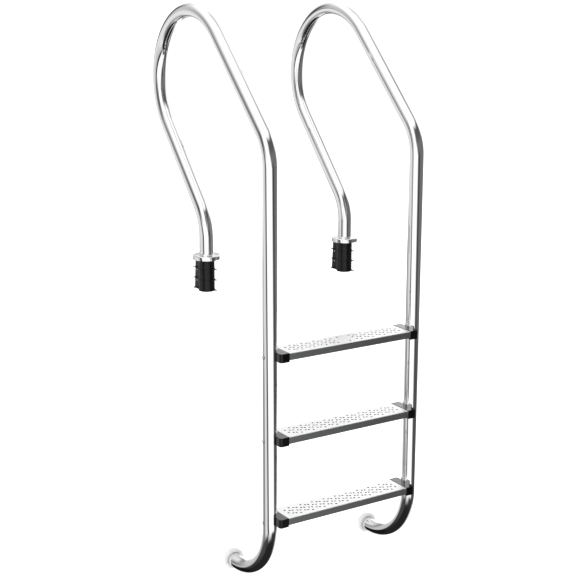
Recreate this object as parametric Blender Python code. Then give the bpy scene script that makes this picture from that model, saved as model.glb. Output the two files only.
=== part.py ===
# Wall-type pool ladder with three treads, modelled as separate pieces.
#
# Frame: +Z up, +X along the treads, +Y away from the pool, toward the deck. Left is -X.
# Origin: the centre of the upper tread's top face. The legs' axes lie in the plane Y = 0 and
# the deck anchors stand behind them on the +Y side. All lengths are in metres.
# The pieces are laid out about the deck's level between the anchors, then all moved together
# to that origin at the end.

import bpy
import bmesh
import math
from mathutils import Vector, Matrix

for old_object in list(bpy.data.objects):
    bpy.data.objects.remove(old_object, do_unlink=True)
for old_mesh in list(bpy.data.meshes):
    bpy.data.meshes.remove(old_mesh)

MM = 0.001

# ---------------------------------------------------------------- shared dimensions
RAIL_SPACING = 508.0 * MM        # between the two rails' axes
TUBE_R = 42.4 * MM / 2           # rail tube, outside
TUBE_SIDES = 16                  # facets round the tube
GAP = 0.3 * MM                   # clearance between neighbouring pieces
OVERRUN = 5.0 * MM               # how far a cutter runs past the face it opens

BOLT_R = 8.0 * MM / 2            # M8, for the treads and the wedges
BOLT_HOLE_R = 9.0 * MM / 2
BOLT_CLEAR_R = BOLT_R + GAP      # hole in nuts, washers and wedges
TIP_INSET = 0.7 * MM             # chamfer at the bolts' tips
TIP_LENGTH = 0.8 * MM
WASHER_T = 1.6 * MM

SIDES = (("left", -1.0), ("right", 1.0))

# name: (colour, roughness, metallic)
FINISHES = {
    "rail": ((0.78, 0.79, 0.80), 0.08, 1.0),
    "tread": ((0.74, 0.75, 0.76), 0.22, 1.0),
    "cap": ((0.025, 0.025, 0.027), 0.45, 0.0),
    "fastener": ((0.66, 0.67, 0.68), 0.28, 1.0),
    "bumper": ((0.86, 0.86, 0.84), 0.55, 0.0),
    "escutcheon": ((0.78, 0.79, 0.80), 0.10, 1.0),
    "anchor": ((0.018, 0.018, 0.020), 0.50, 0.0),
    "wedge": ((0.45, 0.46, 0.48), 0.50, 1.0),
    "plug": ((0.62, 0.63, 0.64), 0.40, 0.0),
}


# ---------------------------------------------------------------- objects
def add_material(name, colour, roughness, metallic):
    material = bpy.data.materials.new(name)
    material.use_nodes = True
    inputs = material.node_tree.nodes["Principled BSDF"].inputs
    inputs["Base Color"].default_value = (*colour, 1.0)
    inputs["Roughness"].default_value = roughness
    inputs["Metallic"].default_value = metallic
    material.diffuse_color = (*colour, 1.0)
    return material


def add_object(name, shape, location, rotation):
    """Turn a closed bmesh into a named object."""
    bmesh.ops.recalc_face_normals(shape, faces=shape.faces)
    mesh = bpy.data.meshes.new(name)
    shape.to_mesh(mesh)
    shape.free()
    added = bpy.data.objects.new(name, mesh)
    bpy.context.scene.collection.objects.link(added)
    added.location = location
    if rotation is not None:
        added.rotation_mode = "QUATERNION"
        added.rotation_quaternion = rotation
    return added


def add_piece(name, shape, finish, location, rotation=None, sharp_angle=35.0):
    """Add a smooth-shaded piece with its own material. Edges past sharp_angle stay sharp."""
    piece = add_object(name, shape, location, rotation)
    piece.data.materials.append(add_material(name + "_material", *FINISHES[finish]))
    piece.data.shade_smooth()
    piece.data.set_sharp_from_angle(angle=math.radians(sharp_angle))
    return piece


def combine(piece, name, shape, location, rotation=None, operation="DIFFERENCE"):
    """Cut a shape from the piece, or join it on, through a hidden helper object."""
    helper = add_object(name, shape, location, rotation)
    helper.hide_render = True
    helper.display_type = "WIRE"
    modifier = piece.modifiers.new(name, "BOOLEAN")
    modifier.operation = operation
    modifier.solver = "EXACT"
    modifier.object = helper


# ---------------------------------------------------------------- shapes
def bridge(shape, ring_a, ring_b):
    """Join two closed rings with faces. Either ring may be a single vertex."""
    count = max(len(ring_a), len(ring_b))
    for i in range(count):
        j = (i + 1) % count
        if len(ring_a) == 1:
            shape.faces.new((ring_a[0], ring_b[j], ring_b[i]))
        elif len(ring_b) == 1:
            shape.faces.new((ring_a[i], ring_a[j], ring_b[0]))
        else:
            shape.faces.new((ring_a[i], ring_a[j], ring_b[j], ring_b[i]))


def lathe(profile, sides, axis="Z", phase=0.0):
    """Turn a (radius, height) profile about the axis.
    One that starts and ends at radius 0 closes on the axis; any other closes on itself."""
    shape = bmesh.new()
    rings = []
    for radius, height in profile:
        if radius < 1e-9:
            rings.append([shape.verts.new((0.0, 0.0, height))])
            continue
        angles = [phase + 2 * math.pi * i / sides for i in range(sides)]
        rings.append([shape.verts.new((radius * math.cos(a), radius * math.sin(a), height))
                      for a in angles])
    for ring_a, ring_b in zip(rings, rings[1:]):
        bridge(shape, ring_a, ring_b)
    if len(rings[0]) > 1:
        bridge(shape, rings[-1], rings[0])
    if axis == "X":
        quarter_turn = Matrix.Rotation(math.radians(90), 3, "Y")
        bmesh.ops.rotate(shape, verts=shape.verts, matrix=quarter_turn)
    return shape


def rod(radius, start, end, sides, axis="Z", phase=0.0):
    return lathe([(0, start), (radius, start), (radius, end), (0, end)], sides, axis, phase)


def loft(points_a, points_b):
    """Solid between two matching outlines of (x, y, z) points."""
    shape = bmesh.new()
    ring_a = [shape.verts.new(point) for point in points_a]
    ring_b = [shape.verts.new(point) for point in points_b]
    shape.faces.new(ring_a[::-1])
    shape.faces.new(ring_b)
    bridge(shape, ring_a, ring_b)
    return shape


def prism(outline, start, end, axis="Z"):
    """Extrude a closed outline along the axis: (x, y) points for Z, (y, z) points for X."""
    if axis == "Z":
        return loft([(x, y, start) for x, y in outline], [(x, y, end) for x, y in outline])
    return loft([(start, y, z) for y, z in outline], [(end, y, z) for y, z in outline])


def box(x0, x1, y0, y1, z0, z1):
    return prism([(x0, y0), (x1, y0), (x1, y1), (x0, y1)], z0, z1)


def moved(shape, offset):
    bmesh.ops.translate(shape, verts=shape.verts, vec=offset)
    return shape


def arc(centre_x, centre_y, radius, start, end, steps):
    """steps + 1 points on an arc, angles in degrees."""
    angles = [math.radians(start + (end - start) * i / steps) for i in range(steps + 1)]
    return [(centre_x + radius * math.cos(a), centre_y + radius * math.sin(a)) for a in angles]


# ---------------------------------------------------------------- rail path
# Measured from the leg datum: leg axis at Y = 0, Z up.
J_CENTRE_Z = 69.5 * MM           # where the leg's straight part starts
J_RADIUS = 188.5 * MM
J_TURN = math.radians(95.5)
J_TAIL = 22.0 * MM               # straight end that the bumper sits on
LEG_TOP_Z = 1119.8 * MM
OUT_BEND_R = 137.2 * MM          # leg to the rising straight
OUT_BEND_TURN = math.radians(44.2)
RISE_LENGTH = 351.7 * MM
HOOP_R = 209.1 * MM
HOOP_TURN = math.radians(177.1)
FALL_LENGTH = 300.6 * MM
IN_BEND_R = 133.7 * MM           # falling straight to the vertical end
BEND_STEP = math.radians(10.0)   # nominal facet step along the bends

DECK_Z = 800.9 * MM              # deck level above the leg datum
TUBE_END_DEPTH = 90.0 * MM       # how far the tube reaches down into the anchor


def rail_path():
    """Centre line as (y, z, heading), from the hook's free end, up the leg, over the hoop
    and down to the anchor end. The heading is measured from +Z toward +Y."""
    path = [(J_RADIUS - J_RADIUS * math.cos(J_TURN) + math.sin(J_TURN) * J_TAIL,
             J_CENTRE_Z - J_RADIUS * math.sin(J_TURN) - math.cos(J_TURN) * J_TAIL,
             -J_TURN)]

    def straight(length):
        y, z, heading = path[-1]
        path.append((y + math.sin(heading) * length, z + math.cos(heading) * length, heading))

    def bend(radius, turn):
        """A positive turn goes toward +Y when heading up."""
        y, z, heading = path[-1]
        reach = math.copysign(radius, turn)
        centre_y = y + reach * math.cos(heading)
        centre_z = z - reach * math.sin(heading)
        steps = round(abs(turn) / BEND_STEP)
        for i in range(1, steps + 1):
            angle = heading + turn * i / steps
            path.append((centre_y - reach * math.cos(angle),
                         centre_z + reach * math.sin(angle), angle))

    straight(J_TAIL)
    bend(J_RADIUS, J_TURN)
    straight(LEG_TOP_Z - J_CENTRE_Z)
    bend(OUT_BEND_R, OUT_BEND_TURN)
    straight(RISE_LENGTH)
    bend(HOOP_R, HOOP_TURN)
    straight(FALL_LENGTH)
    bend(IN_BEND_R, -(OUT_BEND_TURN + HOOP_TURN - math.pi))
    straight(path[-1][1] - (DECK_Z - TUBE_END_DEPTH))
    return path


LEG_PATH = rail_path()
LEG_Y = -LEG_PATH[-1][0]         # leg axis, measured from the anchor axis
# the same path about the deck's level, with the anchor axis at Y = 0
PATH = [(y + LEG_Y, z - DECK_Z, heading) for y, z, heading in LEG_PATH]

# ---------------------------------------------------------------- tread levels
TREAD_NAMES = ("upper", "middle", "lower")
TREAD_PITCH = 250.0 * MM
LOWER_TREAD_Z = 98.2 * MM        # top of the lower tread, above the leg datum
TREAD_TOPS = [LOWER_TREAD_Z + TREAD_PITCH * (2 - i) - DECK_Z for i in range(3)]
BOLT_DROP = 14.2 * MM            # bolt axis below the tread's top

# ---------------------------------------------------------------- rails
TUBE_WALL = 1.5 * MM
RAIL_CUT_REACH = 35.0 * MM       # the bolt hole's cutter, each way from the leg's axis
CROSS_HOLE_SIDES = 8             # bolt holes through the rails and the end caps
CROSS_HOLE_PHASE = math.pi / CROSS_HOLE_SIDES    # sets a flat of the hole uppermost


def rail_shape():
    """Hollow tube swept along the path, open at both ends."""
    shape = bmesh.new()
    angles = [2 * math.pi * i / TUBE_SIDES for i in range(TUBE_SIDES)]
    skins = []
    for radius in (TUBE_R, TUBE_R - TUBE_WALL):
        skins.append([
            [shape.verts.new((radius * math.cos(a),
                              y + radius * math.sin(a) * math.cos(heading),
                              z - radius * math.sin(a) * math.sin(heading))) for a in angles]
            for y, z, heading in PATH])
    for rings in skins:
        for ring_a, ring_b in zip(rings, rings[1:]):
            bridge(shape, ring_a, ring_b)
    outer, inner = skins
    for end in (0, -1):
        bridge(shape, outer[end], inner[end])
    return shape


def build_rail(side, rail_x):
    rail = add_piece(side + "_rail", rail_shape(), "rail", (rail_x, 0, 0), sharp_angle=40)
    for label, top in zip(TREAD_NAMES, TREAD_TOPS):
        combine(rail, "cut_%s_rail_%s" % (side, label),
                rod(BOLT_HOLE_R, -RAIL_CUT_REACH, RAIL_CUT_REACH,
                    CROSS_HOLE_SIDES, "X", CROSS_HOLE_PHASE),
                (rail_x, LEG_Y, top - BOLT_DROP))


# ---------------------------------------------------------------- treads
TREAD_HALF_LENGTH = 215.3 * MM
TREAD_HALF_DEPTH = 43.0 * MM
TREAD_HEIGHT = 21.3 * MM
TREAD_SHEET = 1.2 * MM
TREAD_FOLD_R = 3.0 * MM          # outside radius of the upper folds
TREAD_LIP = 9.0 * MM             # return lip along both lower edges
TREAD_LIP_R = 2.2 * MM           # outside radius of the folds into the lips


def tread_outline():
    """Folded sheet section in (y, z), z = 0 at the top: a channel open downward with
    return lips."""
    lip_y = TREAD_HALF_DEPTH - TREAD_LIP
    fold_y = TREAD_HALF_DEPTH - TREAD_FOLD_R
    lip_fold_y = TREAD_HALF_DEPTH - TREAD_LIP_R
    lip_fold_z = TREAD_LIP_R - TREAD_HEIGHT
    # centre y, centre z, outside radius, start angle, steps; each fold turns 90 degrees
    folds = [
        (lip_fold_y, lip_fold_z, TREAD_LIP_R, -90, 3),
        (fold_y, -TREAD_FOLD_R, TREAD_FOLD_R, 0, 4),
        (-fold_y, -TREAD_FOLD_R, TREAD_FOLD_R, 90, 4),
        (-lip_fold_y, lip_fold_z, TREAD_LIP_R, 180, 3),
    ]
    outline = [(lip_y, -TREAD_HEIGHT)]
    for y, z, radius, start, steps in folds:
        outline += arc(y, z, radius, start, start + 90, steps)
    outline += [(-lip_y, -TREAD_HEIGHT), (-lip_y, -TREAD_HEIGHT + TREAD_SHEET)]
    for y, z, radius, start, steps in reversed(folds):
        outline += arc(y, z, radius - TREAD_SHEET, start + 90, start, steps)
    outline += [(lip_y, -TREAD_HEIGHT + TREAD_SHEET)]
    return outline


def build_tread(label, top):
    add_piece(label + "_tread",
              prism(tread_outline(), -TREAD_HALF_LENGTH, TREAD_HALF_LENGTH, "X"),
              "tread", (0, LEG_Y, top))


# ---------------------------------------------------------------- tread end caps
# Local frame of a cap and its fasteners: x runs from the rail axis toward the tread, and
# a cap's z = 0 is at the tread's top.
CAP_EAR = 8.7 * MM               # nearest the cap's ears come to the rail axis, in x
CAP_FACE = RAIL_SPACING / 2 - TREAD_HALF_LENGTH - GAP    # the face against the tread
CAP_HALF_DEPTH = TREAD_HALF_DEPTH + 0.8 * MM     # stands proud of the tread, -Y and +Y
CAP_TOP = 1.0 * MM               # and above it
CAP_BOTTOM = 25.6 * MM           # below the tread's top
CAP_CORNER_R = 9.0 * MM
CAP_BEVEL = 1.6 * MM
CAP_BORE_END = 90.0 * MM

TONGUE_LENGTH = 30.0 * MM        # reach into the tread from the cap's face
TONGUE_ROOT = 4.0 * MM           # overlap with the cap's body
TONGUE_SIDE_GAP = 0.5 * MM       # to the inside of the tread's folded sheet
TONGUE_GAP = 0.4 * MM            # the same, above and below
TONGUE_CORNER_R = 3.0 * MM

NUT_AF = 13.0 * MM               # across flats
NUT_CORNER_R = NUT_AF / math.sqrt(3)
NUT_H = 6.5 * MM
NUT_START = 52.3 * MM            # the nut's rail-side face, from the rail axis
NUT_WASHER_R = 7.0 * MM


def cap_outline():
    """Plan of the cap's body in (x, y), hollowed to a seat round the tube."""
    seat_r = TUBE_R + GAP
    seat_angle = math.degrees(math.acos(CAP_EAR / seat_r))
    corner_x = CAP_EAR + CAP_CORNER_R
    corner_y = CAP_HALF_DEPTH - CAP_CORNER_R
    outline = [(CAP_FACE, -CAP_HALF_DEPTH), (CAP_FACE, CAP_HALF_DEPTH)]
    outline += arc(corner_x, corner_y, CAP_CORNER_R, 90, 180, 4)
    outline += arc(0, 0, seat_r, seat_angle, -seat_angle, 8)
    outline += arc(corner_x, -corner_y, CAP_CORNER_R, 180, 270, 4)
    return outline


def cap_shape():
    """Body of the cap, its top and bottom edges bevelled except at the tread and the tube."""
    shape = prism(cap_outline(), -CAP_BOTTOM, CAP_TOP)

    def on_rim(edge):
        level = abs(edge.verts[0].co.z - edge.verts[1].co.z) < 1e-6
        at_tread = all(abs(v.co.x - CAP_FACE) < 1e-6 for v in edge.verts)
        at_tube = all(math.hypot(v.co.x, v.co.y) < TUBE_R + 2 * GAP for v in edge.verts)
        return level and not at_tread and not at_tube

    bmesh.ops.bevel(shape, geom=[edge for edge in shape.edges if on_rim(edge)],
                    offset=CAP_BEVEL, segments=1, profile=0.5, affect="EDGES",
                    clamp_overlap=True, miter_outer="SHARP")
    return shape


def tongue_shape():
    """Block that reaches into the tread, its two upper corners rounded."""
    half_width = TREAD_HALF_DEPTH - TREAD_SHEET - TONGUE_SIDE_GAP
    corner_y = half_width - TONGUE_CORNER_R
    corner_z = -TREAD_SHEET - TONGUE_GAP - TONGUE_CORNER_R
    bottom = -TREAD_HEIGHT + TREAD_SHEET + TONGUE_GAP
    section = [(half_width, bottom)]
    section += arc(corner_y, corner_z, TONGUE_CORNER_R, 0, 90, 3)
    section += arc(-corner_y, corner_z, TONGUE_CORNER_R, 90, 180, 3)
    section += [(-half_width, bottom)]
    return prism(section, CAP_FACE - TONGUE_ROOT, CAP_FACE + TONGUE_LENGTH, "X")


def build_cap(name, place, turn):
    cap = add_piece(name, cap_shape(), "cap", place, turn, sharp_angle=32)
    combine(cap, "add_" + name, tongue_shape(), place, turn, "UNION")
    bore = rod(BOLT_HOLE_R, 0, CAP_BORE_END, CROSS_HOLE_SIDES, "X", CROSS_HOLE_PHASE)
    combine(cap, "bore_" + name, moved(bore, (0, 0, -BOLT_DROP)), place, turn)
    # slots open downward: name, x from, x to, half width, rise above the bolt axis
    slots = (
        ("washer_slot_", NUT_START - 2 * GAP - WASHER_T, NUT_START, NUT_WASHER_R, NUT_WASHER_R),
        ("slot_", NUT_START - GAP, NUT_START + NUT_H + GAP, NUT_AF / 2, NUT_CORNER_R),
    )
    for prefix, start, end, half_width, rise in slots:
        slot = box(start, end, -half_width - GAP, half_width + GAP,
                   -CAP_BOTTOM - OVERRUN, -BOLT_DROP + rise + GAP)
        combine(cap, prefix + name, slot, place, turn)


# ---------------------------------------------------------------- tread fasteners
TREAD_BOLT_TIP = 62.0 * MM       # from the rail axis
DOME_HEAD_R = 5.8 * MM
DOME_HEAD_H = 1.9 * MM
DOME_RIM_H = 0.25 * DOME_HEAD_H  # upright rim below the dome
DOME_STEPS = 3
DOME_SOCKET_R = 1.7 * MM
DOME_SOCKET_DEPTH = 1.3 * MM
DOME_SOCKET_LIP = 0.2 * MM       # drop from the head's top to the socket's edge
BOLT_SIDES = 12


def bolt_tip(end):
    """Profile points of a chamfered tip, from the axis at height `end` out to the shank."""
    return [(0, end), (BOLT_R - TIP_INSET, end),
            (BOLT_R, end - math.copysign(TIP_LENGTH, end))]


def dome_bolt_shape(length):
    """Domed head with a round socket. The head's seat is at x = 0; the shank runs to +x."""
    flat_r = DOME_SOCKET_R * 1.25
    socket_floor = -DOME_HEAD_H + DOME_SOCKET_DEPTH
    profile = bolt_tip(length)
    profile += [(BOLT_R, 0), (DOME_HEAD_R, 0), (DOME_HEAD_R, -DOME_RIM_H)]
    for i in range(1, DOME_STEPS):
        angle = math.radians(90) * i / DOME_STEPS
        profile.append((flat_r + (DOME_HEAD_R - flat_r) * math.cos(angle),
                        -DOME_RIM_H - (DOME_HEAD_H - DOME_RIM_H) * math.sin(angle)))
    profile += [(flat_r, -DOME_HEAD_H), (DOME_SOCKET_R, -DOME_HEAD_H + DOME_SOCKET_LIP),
                (DOME_SOCKET_R, socket_floor), (0, socket_floor)]
    return lathe(profile, BOLT_SIDES, "X")


def nut_shape():
    """Hexagon nut along x, with corners up and down and flats toward +Y and -Y."""
    shape = bmesh.new()
    corner_and_flat = (NUT_CORNER_R, NUT_AF / 2)     # alternate round the nut
    rings = []
    for x, radii in ((0.0, corner_and_flat), (NUT_H, corner_and_flat),
                     (NUT_H, (BOLT_CLEAR_R, BOLT_CLEAR_R)), (0.0, (BOLT_CLEAR_R, BOLT_CLEAR_R))):
        ring = []
        for i in range(12):
            angle = 2 * math.pi * i / 12
            radius = radii[i % 2]
            ring.append(shape.verts.new((x, radius * math.sin(angle), radius * math.cos(angle))))
        rings.append(ring)
    for i in range(4):
        bridge(shape, rings[i], rings[(i + 1) % 4])
    return shape


def washer_shape(radius, axis):
    return lathe([(BOLT_CLEAR_R, 0), (radius, 0), (radius, WASHER_T), (BOLT_CLEAR_R, WASHER_T)],
                 16, axis)


def build_tread_end(label, top, side, sign):
    """Cap, bolt, nut and washer at one end of a tread."""
    prefix = "%s_tread_%s_" % (label, side)
    turn = Matrix.Rotation(0 if sign < 0 else math.pi, 3, "Z").to_quaternion()
    build_cap(prefix + "cap", (sign * RAIL_SPACING / 2, LEG_Y, top), turn)

    head_seat = TUBE_R + GAP
    # name, shape, start from the rail axis toward the tread; the washer is between the nut
    # and the wall of its slot
    fasteners = (
        ("washer", washer_shape(NUT_WASHER_R, "X"), NUT_START - GAP - WASHER_T),
        ("bolt", dome_bolt_shape(head_seat + TREAD_BOLT_TIP), -head_seat),
        ("nut", nut_shape(), NUT_START),
    )
    for name, shape, start in fasteners:
        add_piece(prefix + name, shape, "fastener",
                  (sign * (RAIL_SPACING / 2 - start), LEG_Y, top - BOLT_DROP), turn)


# ---------------------------------------------------------------- wall bumpers
BUMPER_R = 33.6 * MM
BUMPER_LENGTH = 33.6 * MM
BUMPER_BORE_R = TUBE_R + 0.5 * MM
BUMPER_BORE_BEVEL = 0.8 * MM
BUMPER_DOME_START = 2.0 * MM
BUMPER_DOME_STEPS = 6


def bumper_shape():
    """Half-ball cap with a blind socket. Axis Z, open face at 0, dome toward +Z."""
    socket_floor = J_TAIL + GAP
    profile = [
        (0, socket_floor),
        (BUMPER_BORE_R, socket_floor),
        (BUMPER_BORE_R, BUMPER_BORE_BEVEL),
        (BUMPER_BORE_R + BUMPER_BORE_BEVEL, 0),
        (BUMPER_R - 1.6 * MM, 0),
        (BUMPER_R - 0.3 * MM, 0.7 * MM),
    ]
    dome_height = BUMPER_LENGTH - BUMPER_DOME_START
    for i in range(BUMPER_DOME_STEPS):
        angle = math.radians(90) * i / BUMPER_DOME_STEPS
        profile.append((BUMPER_R * math.cos(angle),
                        BUMPER_DOME_START + dome_height * math.sin(angle)))
    profile.append((0, BUMPER_LENGTH))
    return lathe(profile, TUBE_SIDES)


def build_bumper(side, rail_x):
    """The open face stands where the hook's arc meets its tail; Z turns onto the tail."""
    y, z, _ = PATH[1]
    tilt = Matrix.Rotation(J_TURN - math.pi, 3, "X").to_quaternion()
    add_piece(side + "_wall_bumper", bumper_shape(), "bumper", (rail_x, y, z), tilt,
              sharp_angle=40)


# ---------------------------------------------------------------- escutcheons
ESC_R = 42.15 * MM
ESC_H = 12.7 * MM
ESC_SHEET = 1.2 * MM
ESC_SHOULDER_R = 3.0 * MM
ESC_HOLE_R = TUBE_R + 0.6 * MM
# collar turned up at the hole: outward from the hole's edge, above the flat top
ESC_COLLAR = (
    (2.6 * MM, 0), (1.6 * MM, 0.5 * MM), (ESC_SHEET, 2.0 * MM),
    (ESC_SHEET * 0.4, 2.4 * MM), (0, 2.0 * MM), (0, -ESC_SHEET),
)


def escutcheon_shape():
    """Pressed cover: upright rim, rounded shoulder, flat top, and a short collar."""
    shoulder = (ESC_R - ESC_SHOULDER_R, ESC_H - ESC_SHOULDER_R)
    profile = [(ESC_R - ESC_SHEET, 0), (ESC_R, 0)]
    profile += arc(*shoulder, ESC_SHOULDER_R, 0, 90, 3)
    profile += [(ESC_HOLE_R + out, ESC_H + up) for out, up in ESC_COLLAR]
    profile += arc(*shoulder, ESC_SHOULDER_R - ESC_SHEET, 90, 0, 2)
    return lathe(profile, 28)


# ---------------------------------------------------------------- deck anchors
ANCHOR_R = 24.4 * MM
ANCHOR_BORE_R = 21.75 * MM
ANCHOR_H = 98.3 * MM             # depth of the anchor's foot below the deck
ANCHOR_TOP = -0.3 * MM
DRAIN_R = 15.0 * MM
DRAIN_TOP = -80.0 * MM

HOUSING_HALF_W = 15.0 * MM
HOUSING_TOP_Y = 44.0 * MM        # the housing is deeper at its foot
HOUSING_FOOT_Y = 50.5 * MM
HOUSING_START_Y = 6.0 * MM
HOUSING_WALL = 3.0 * MM
HOUSING_CORNER = 3.0 * MM
BACK_SLOPE = (HOUSING_FOOT_Y - HOUSING_TOP_Y) / ANCHOR_H
POCKET_LOW = -92.0 * MM
POCKET_HIGH = -9.0 * MM
POCKET_START_Y = 14.0 * MM

FIN_LEVELS = (-31.3 * MM, -63.6 * MM, -95.3 * MM)   # undersides
FIN_THICK = 1.6 * MM
FIN_PROUD = 0.8 * MM
FIN_HALF_W = HOUSING_HALF_W + FIN_PROUD
# (x, y) round the ear on the housing's +X side; mirrored for the other
HOUSING_EAR = (
    (FIN_HALF_W, 27.0 * MM), (25.0 * MM, 41.0 * MM), (24.0 * MM, 43.0 * MM),
    (FIN_HALF_W, 43.5 * MM),
)
# (x, y) of the tip of the ear on the pool side
POOL_EAR = ((16.2 * MM, -33.2 * MM), (18.2 * MM, -32.0 * MM))

PLUG_Y = 34.0 * MM
PLUG_DROP = 7.2 * MM             # plug axis below the fin's underside
PLUG_HOLE_R = 2.6 * MM
PLUG_PROFILE = ((0, -0.5 * MM), (1.5 * MM, -0.45 * MM), (2.3 * MM, -0.1 * MM),
                (2.3 * MM, 1.2 * MM), (0, 1.2 * MM))     # radius, x

WEDGE_BOLT_Y = 32.0 * MM
WEDGE_LOW = -84.0 * MM
WEDGE_HIGH = WEDGE_LOW + 30.0 * MM
WEDGE_SIDE_GAP = 0.4 * MM        # to the pocket's side walls
WEDGE_TUBE_GAP = 0.9 * MM
WEDGE_SLOT_STRETCH = 0.7 * MM
WEDGE_BOLT_HOLE_LOW = -20.0 * MM     # the hole's cutter ends inside the pocket
WEDGE_BOLT_TIP = -86.0 * MM
WEDGE_WASHER_R = 7.9 * MM
# cap head with a round socket: radius, height above its seat
CAP_HEAD = (
    (6.3 * MM, 0), (6.5 * MM, 0.3 * MM), (6.5 * MM, 5.5 * MM), (6.0 * MM, 6.0 * MM),
    (3.3 * MM, 6.0 * MM), (3.3 * MM, 2.8 * MM), (0, 2.8 * MM),
)


def housing_back(z):
    """Y of the housing's +Y face at height z."""
    return HOUSING_TOP_Y - z * BACK_SLOPE


def housing_shape():
    low = -ANCHOR_H + 0.4 * MM
    high = ANCHOR_TOP - 0.2 * MM
    section = [(HOUSING_START_Y, low), (housing_back(low), low),
               (housing_back(high), high), (HOUSING_START_Y, high)]
    shape = prism(section, -HOUSING_HALF_W, HOUSING_HALF_W, "X")
    # the two long edges of the +Y face
    corners = [edge for edge in shape.edges
               if all(v.co.y > 30 * MM for v in edge.verts)
               and abs(edge.verts[0].co.z - edge.verts[1].co.z) > 50 * MM]
    bmesh.ops.bevel(shape, geom=corners, offset=HOUSING_CORNER, segments=2, profile=0.5,
                    affect="EDGES")
    return shape


def fin_outline(z):
    """Keying fin in plan: a thin band round the socket and housing, with an ear on each side
    of the housing and one ear on the pool side, turned off the centre line."""
    radius = ANCHOR_R + FIN_PROUD
    join = math.degrees(math.acos(FIN_HALF_W / radius))
    housing_side = [*HOUSING_EAR, (FIN_HALF_W, housing_back(z) + FIN_PROUD)]
    outline = arc(0, 0, radius, -36, join, 4)
    outline += housing_side
    outline += [(-x, y) for x, y in reversed(housing_side)]
    outline += arc(0, 0, radius, 180 - join, 276, 6)
    outline += POOL_EAR
    return outline


def pocket_shape():
    """Wedge pocket, open to the bore; its +Y wall slopes as the housing's does."""
    section = [(POCKET_START_Y, POCKET_LOW),
               (housing_back(POCKET_LOW) - HOUSING_WALL, POCKET_LOW),
               (housing_back(POCKET_HIGH) - HOUSING_WALL, POCKET_HIGH),
               (POCKET_START_Y, POCKET_HIGH)]
    half_width = HOUSING_HALF_W - HOUSING_WALL
    return prism(section, -half_width, half_width, "X")


def build_socket(prefix, rail_x):
    place = (rail_x, 0, 0)
    socket = add_piece(prefix + "_socket", rod(ANCHOR_R, -ANCHOR_H, ANCHOR_TOP, 28),
                       "anchor", place, sharp_angle=32)
    combine(socket, "add_%s_housing" % prefix, housing_shape(), place, operation="UNION")
    for i, z in enumerate(FIN_LEVELS):
        combine(socket, "add_%s_fin_%d" % (prefix, i), prism(fin_outline(z), z, z + FIN_THICK),
                place, operation="UNION")
    # the bore leaves a ledge round the drain that the tube stands on
    combine(socket, "cut_%s_bore" % prefix,
            rod(ANCHOR_BORE_R, -TUBE_END_DEPTH - GAP, OVERRUN, TUBE_SIDES * 2), place)
    combine(socket, "cut_%s_drain" % prefix,
            rod(DRAIN_R, -ANCHOR_H - OVERRUN, DRAIN_TOP, 24), place)
    combine(socket, "cut_%s_pocket" % prefix, pocket_shape(), place)
    combine(socket, "cut_%s_bolt" % prefix,
            rod(BOLT_HOLE_R, WEDGE_BOLT_HOLE_LOW, OVERRUN, 16), (rail_x, WEDGE_BOLT_Y, 0))

    # small plugs in the housing's -X wall, below the two upper fins
    for label, fin_z in zip(("upper", "lower"), FIN_LEVELS):
        plug_place = (rail_x - HOUSING_HALF_W, PLUG_Y, fin_z - PLUG_DROP)
        combine(socket, "cut_%s_%s_plug" % (prefix, label),
                rod(PLUG_HOLE_R, -3.0 * MM, 1.5 * MM, 12, "X"), plug_place)
        add_piece("%s_%s_plug" % (prefix, label), lathe(PLUG_PROFILE, 12, "X"),
                  "plug", plug_place)


def wedge_shape():
    """Clamping wedge: concave toward the tube and sloped on its +Y side."""
    half_width = HOUSING_HALF_W - HOUSING_WALL - WEDGE_SIDE_GAP
    radius = TUBE_R + WEDGE_TUBE_GAP
    spread = math.degrees(math.asin(half_width / radius))
    wall = HOUSING_WALL + GAP / math.cos(math.atan(BACK_SLOPE))
    ends = []
    for z in (WEDGE_LOW, WEDGE_HIGH):
        back_y = housing_back(z) - wall
        outline = arc(0, 0, radius, 90 - spread, 90 + spread, 6)
        outline += [(-half_width, back_y), (half_width, back_y)]
        ends.append([(x, y - WEDGE_BOLT_Y, z) for x, y in outline])
    return loft(*ends)


def build_wedge(prefix, rail_x):
    """Wedge with its bolt hole stretched toward +Y, and the bolt on its washer."""
    place = (rail_x, WEDGE_BOLT_Y, 0)
    wedge = add_piece(prefix + "_wedge", wedge_shape(), "wedge", place, sharp_angle=30)
    slot = arc(0, WEDGE_SLOT_STRETCH, BOLT_CLEAR_R, 0, 180, 8)
    slot += arc(0, 0, BOLT_CLEAR_R, 180, 360, 8)
    combine(wedge, "cut_%s_wedge" % prefix,
            prism(slot, WEDGE_LOW - OVERRUN, WEDGE_HIGH + OVERRUN), place)

    washer_z = ANCHOR_TOP + GAP
    add_piece(prefix + "_bolt_washer", washer_shape(WEDGE_WASHER_R, "Z"), "fastener",
              (rail_x, WEDGE_BOLT_Y, washer_z))
    head_z = washer_z + WASHER_T + GAP
    profile = [*bolt_tip(WEDGE_BOLT_TIP - head_z), (BOLT_R, 0), *CAP_HEAD]
    add_piece(prefix + "_wedge_bolt", lathe(profile, BOLT_SIDES), "fastener",
              (rail_x, WEDGE_BOLT_Y, head_z))


# ---------------------------------------------------------------- assembly
for label, top in zip(TREAD_NAMES, TREAD_TOPS):
    build_tread(label, top)
    for side, sign in SIDES:
        build_tread_end(label, top, side, sign)

for side, sign in SIDES:
    rail_x = sign * RAIL_SPACING / 2
    build_rail(side, rail_x)
    build_bumper(side, rail_x)
    add_piece(side + "_escutcheon", escutcheon_shape(), "escutcheon", (rail_x, 0, 0))
    build_socket(side + "_anchor", rail_x)
    build_wedge(side + "_anchor", rail_x)

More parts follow.
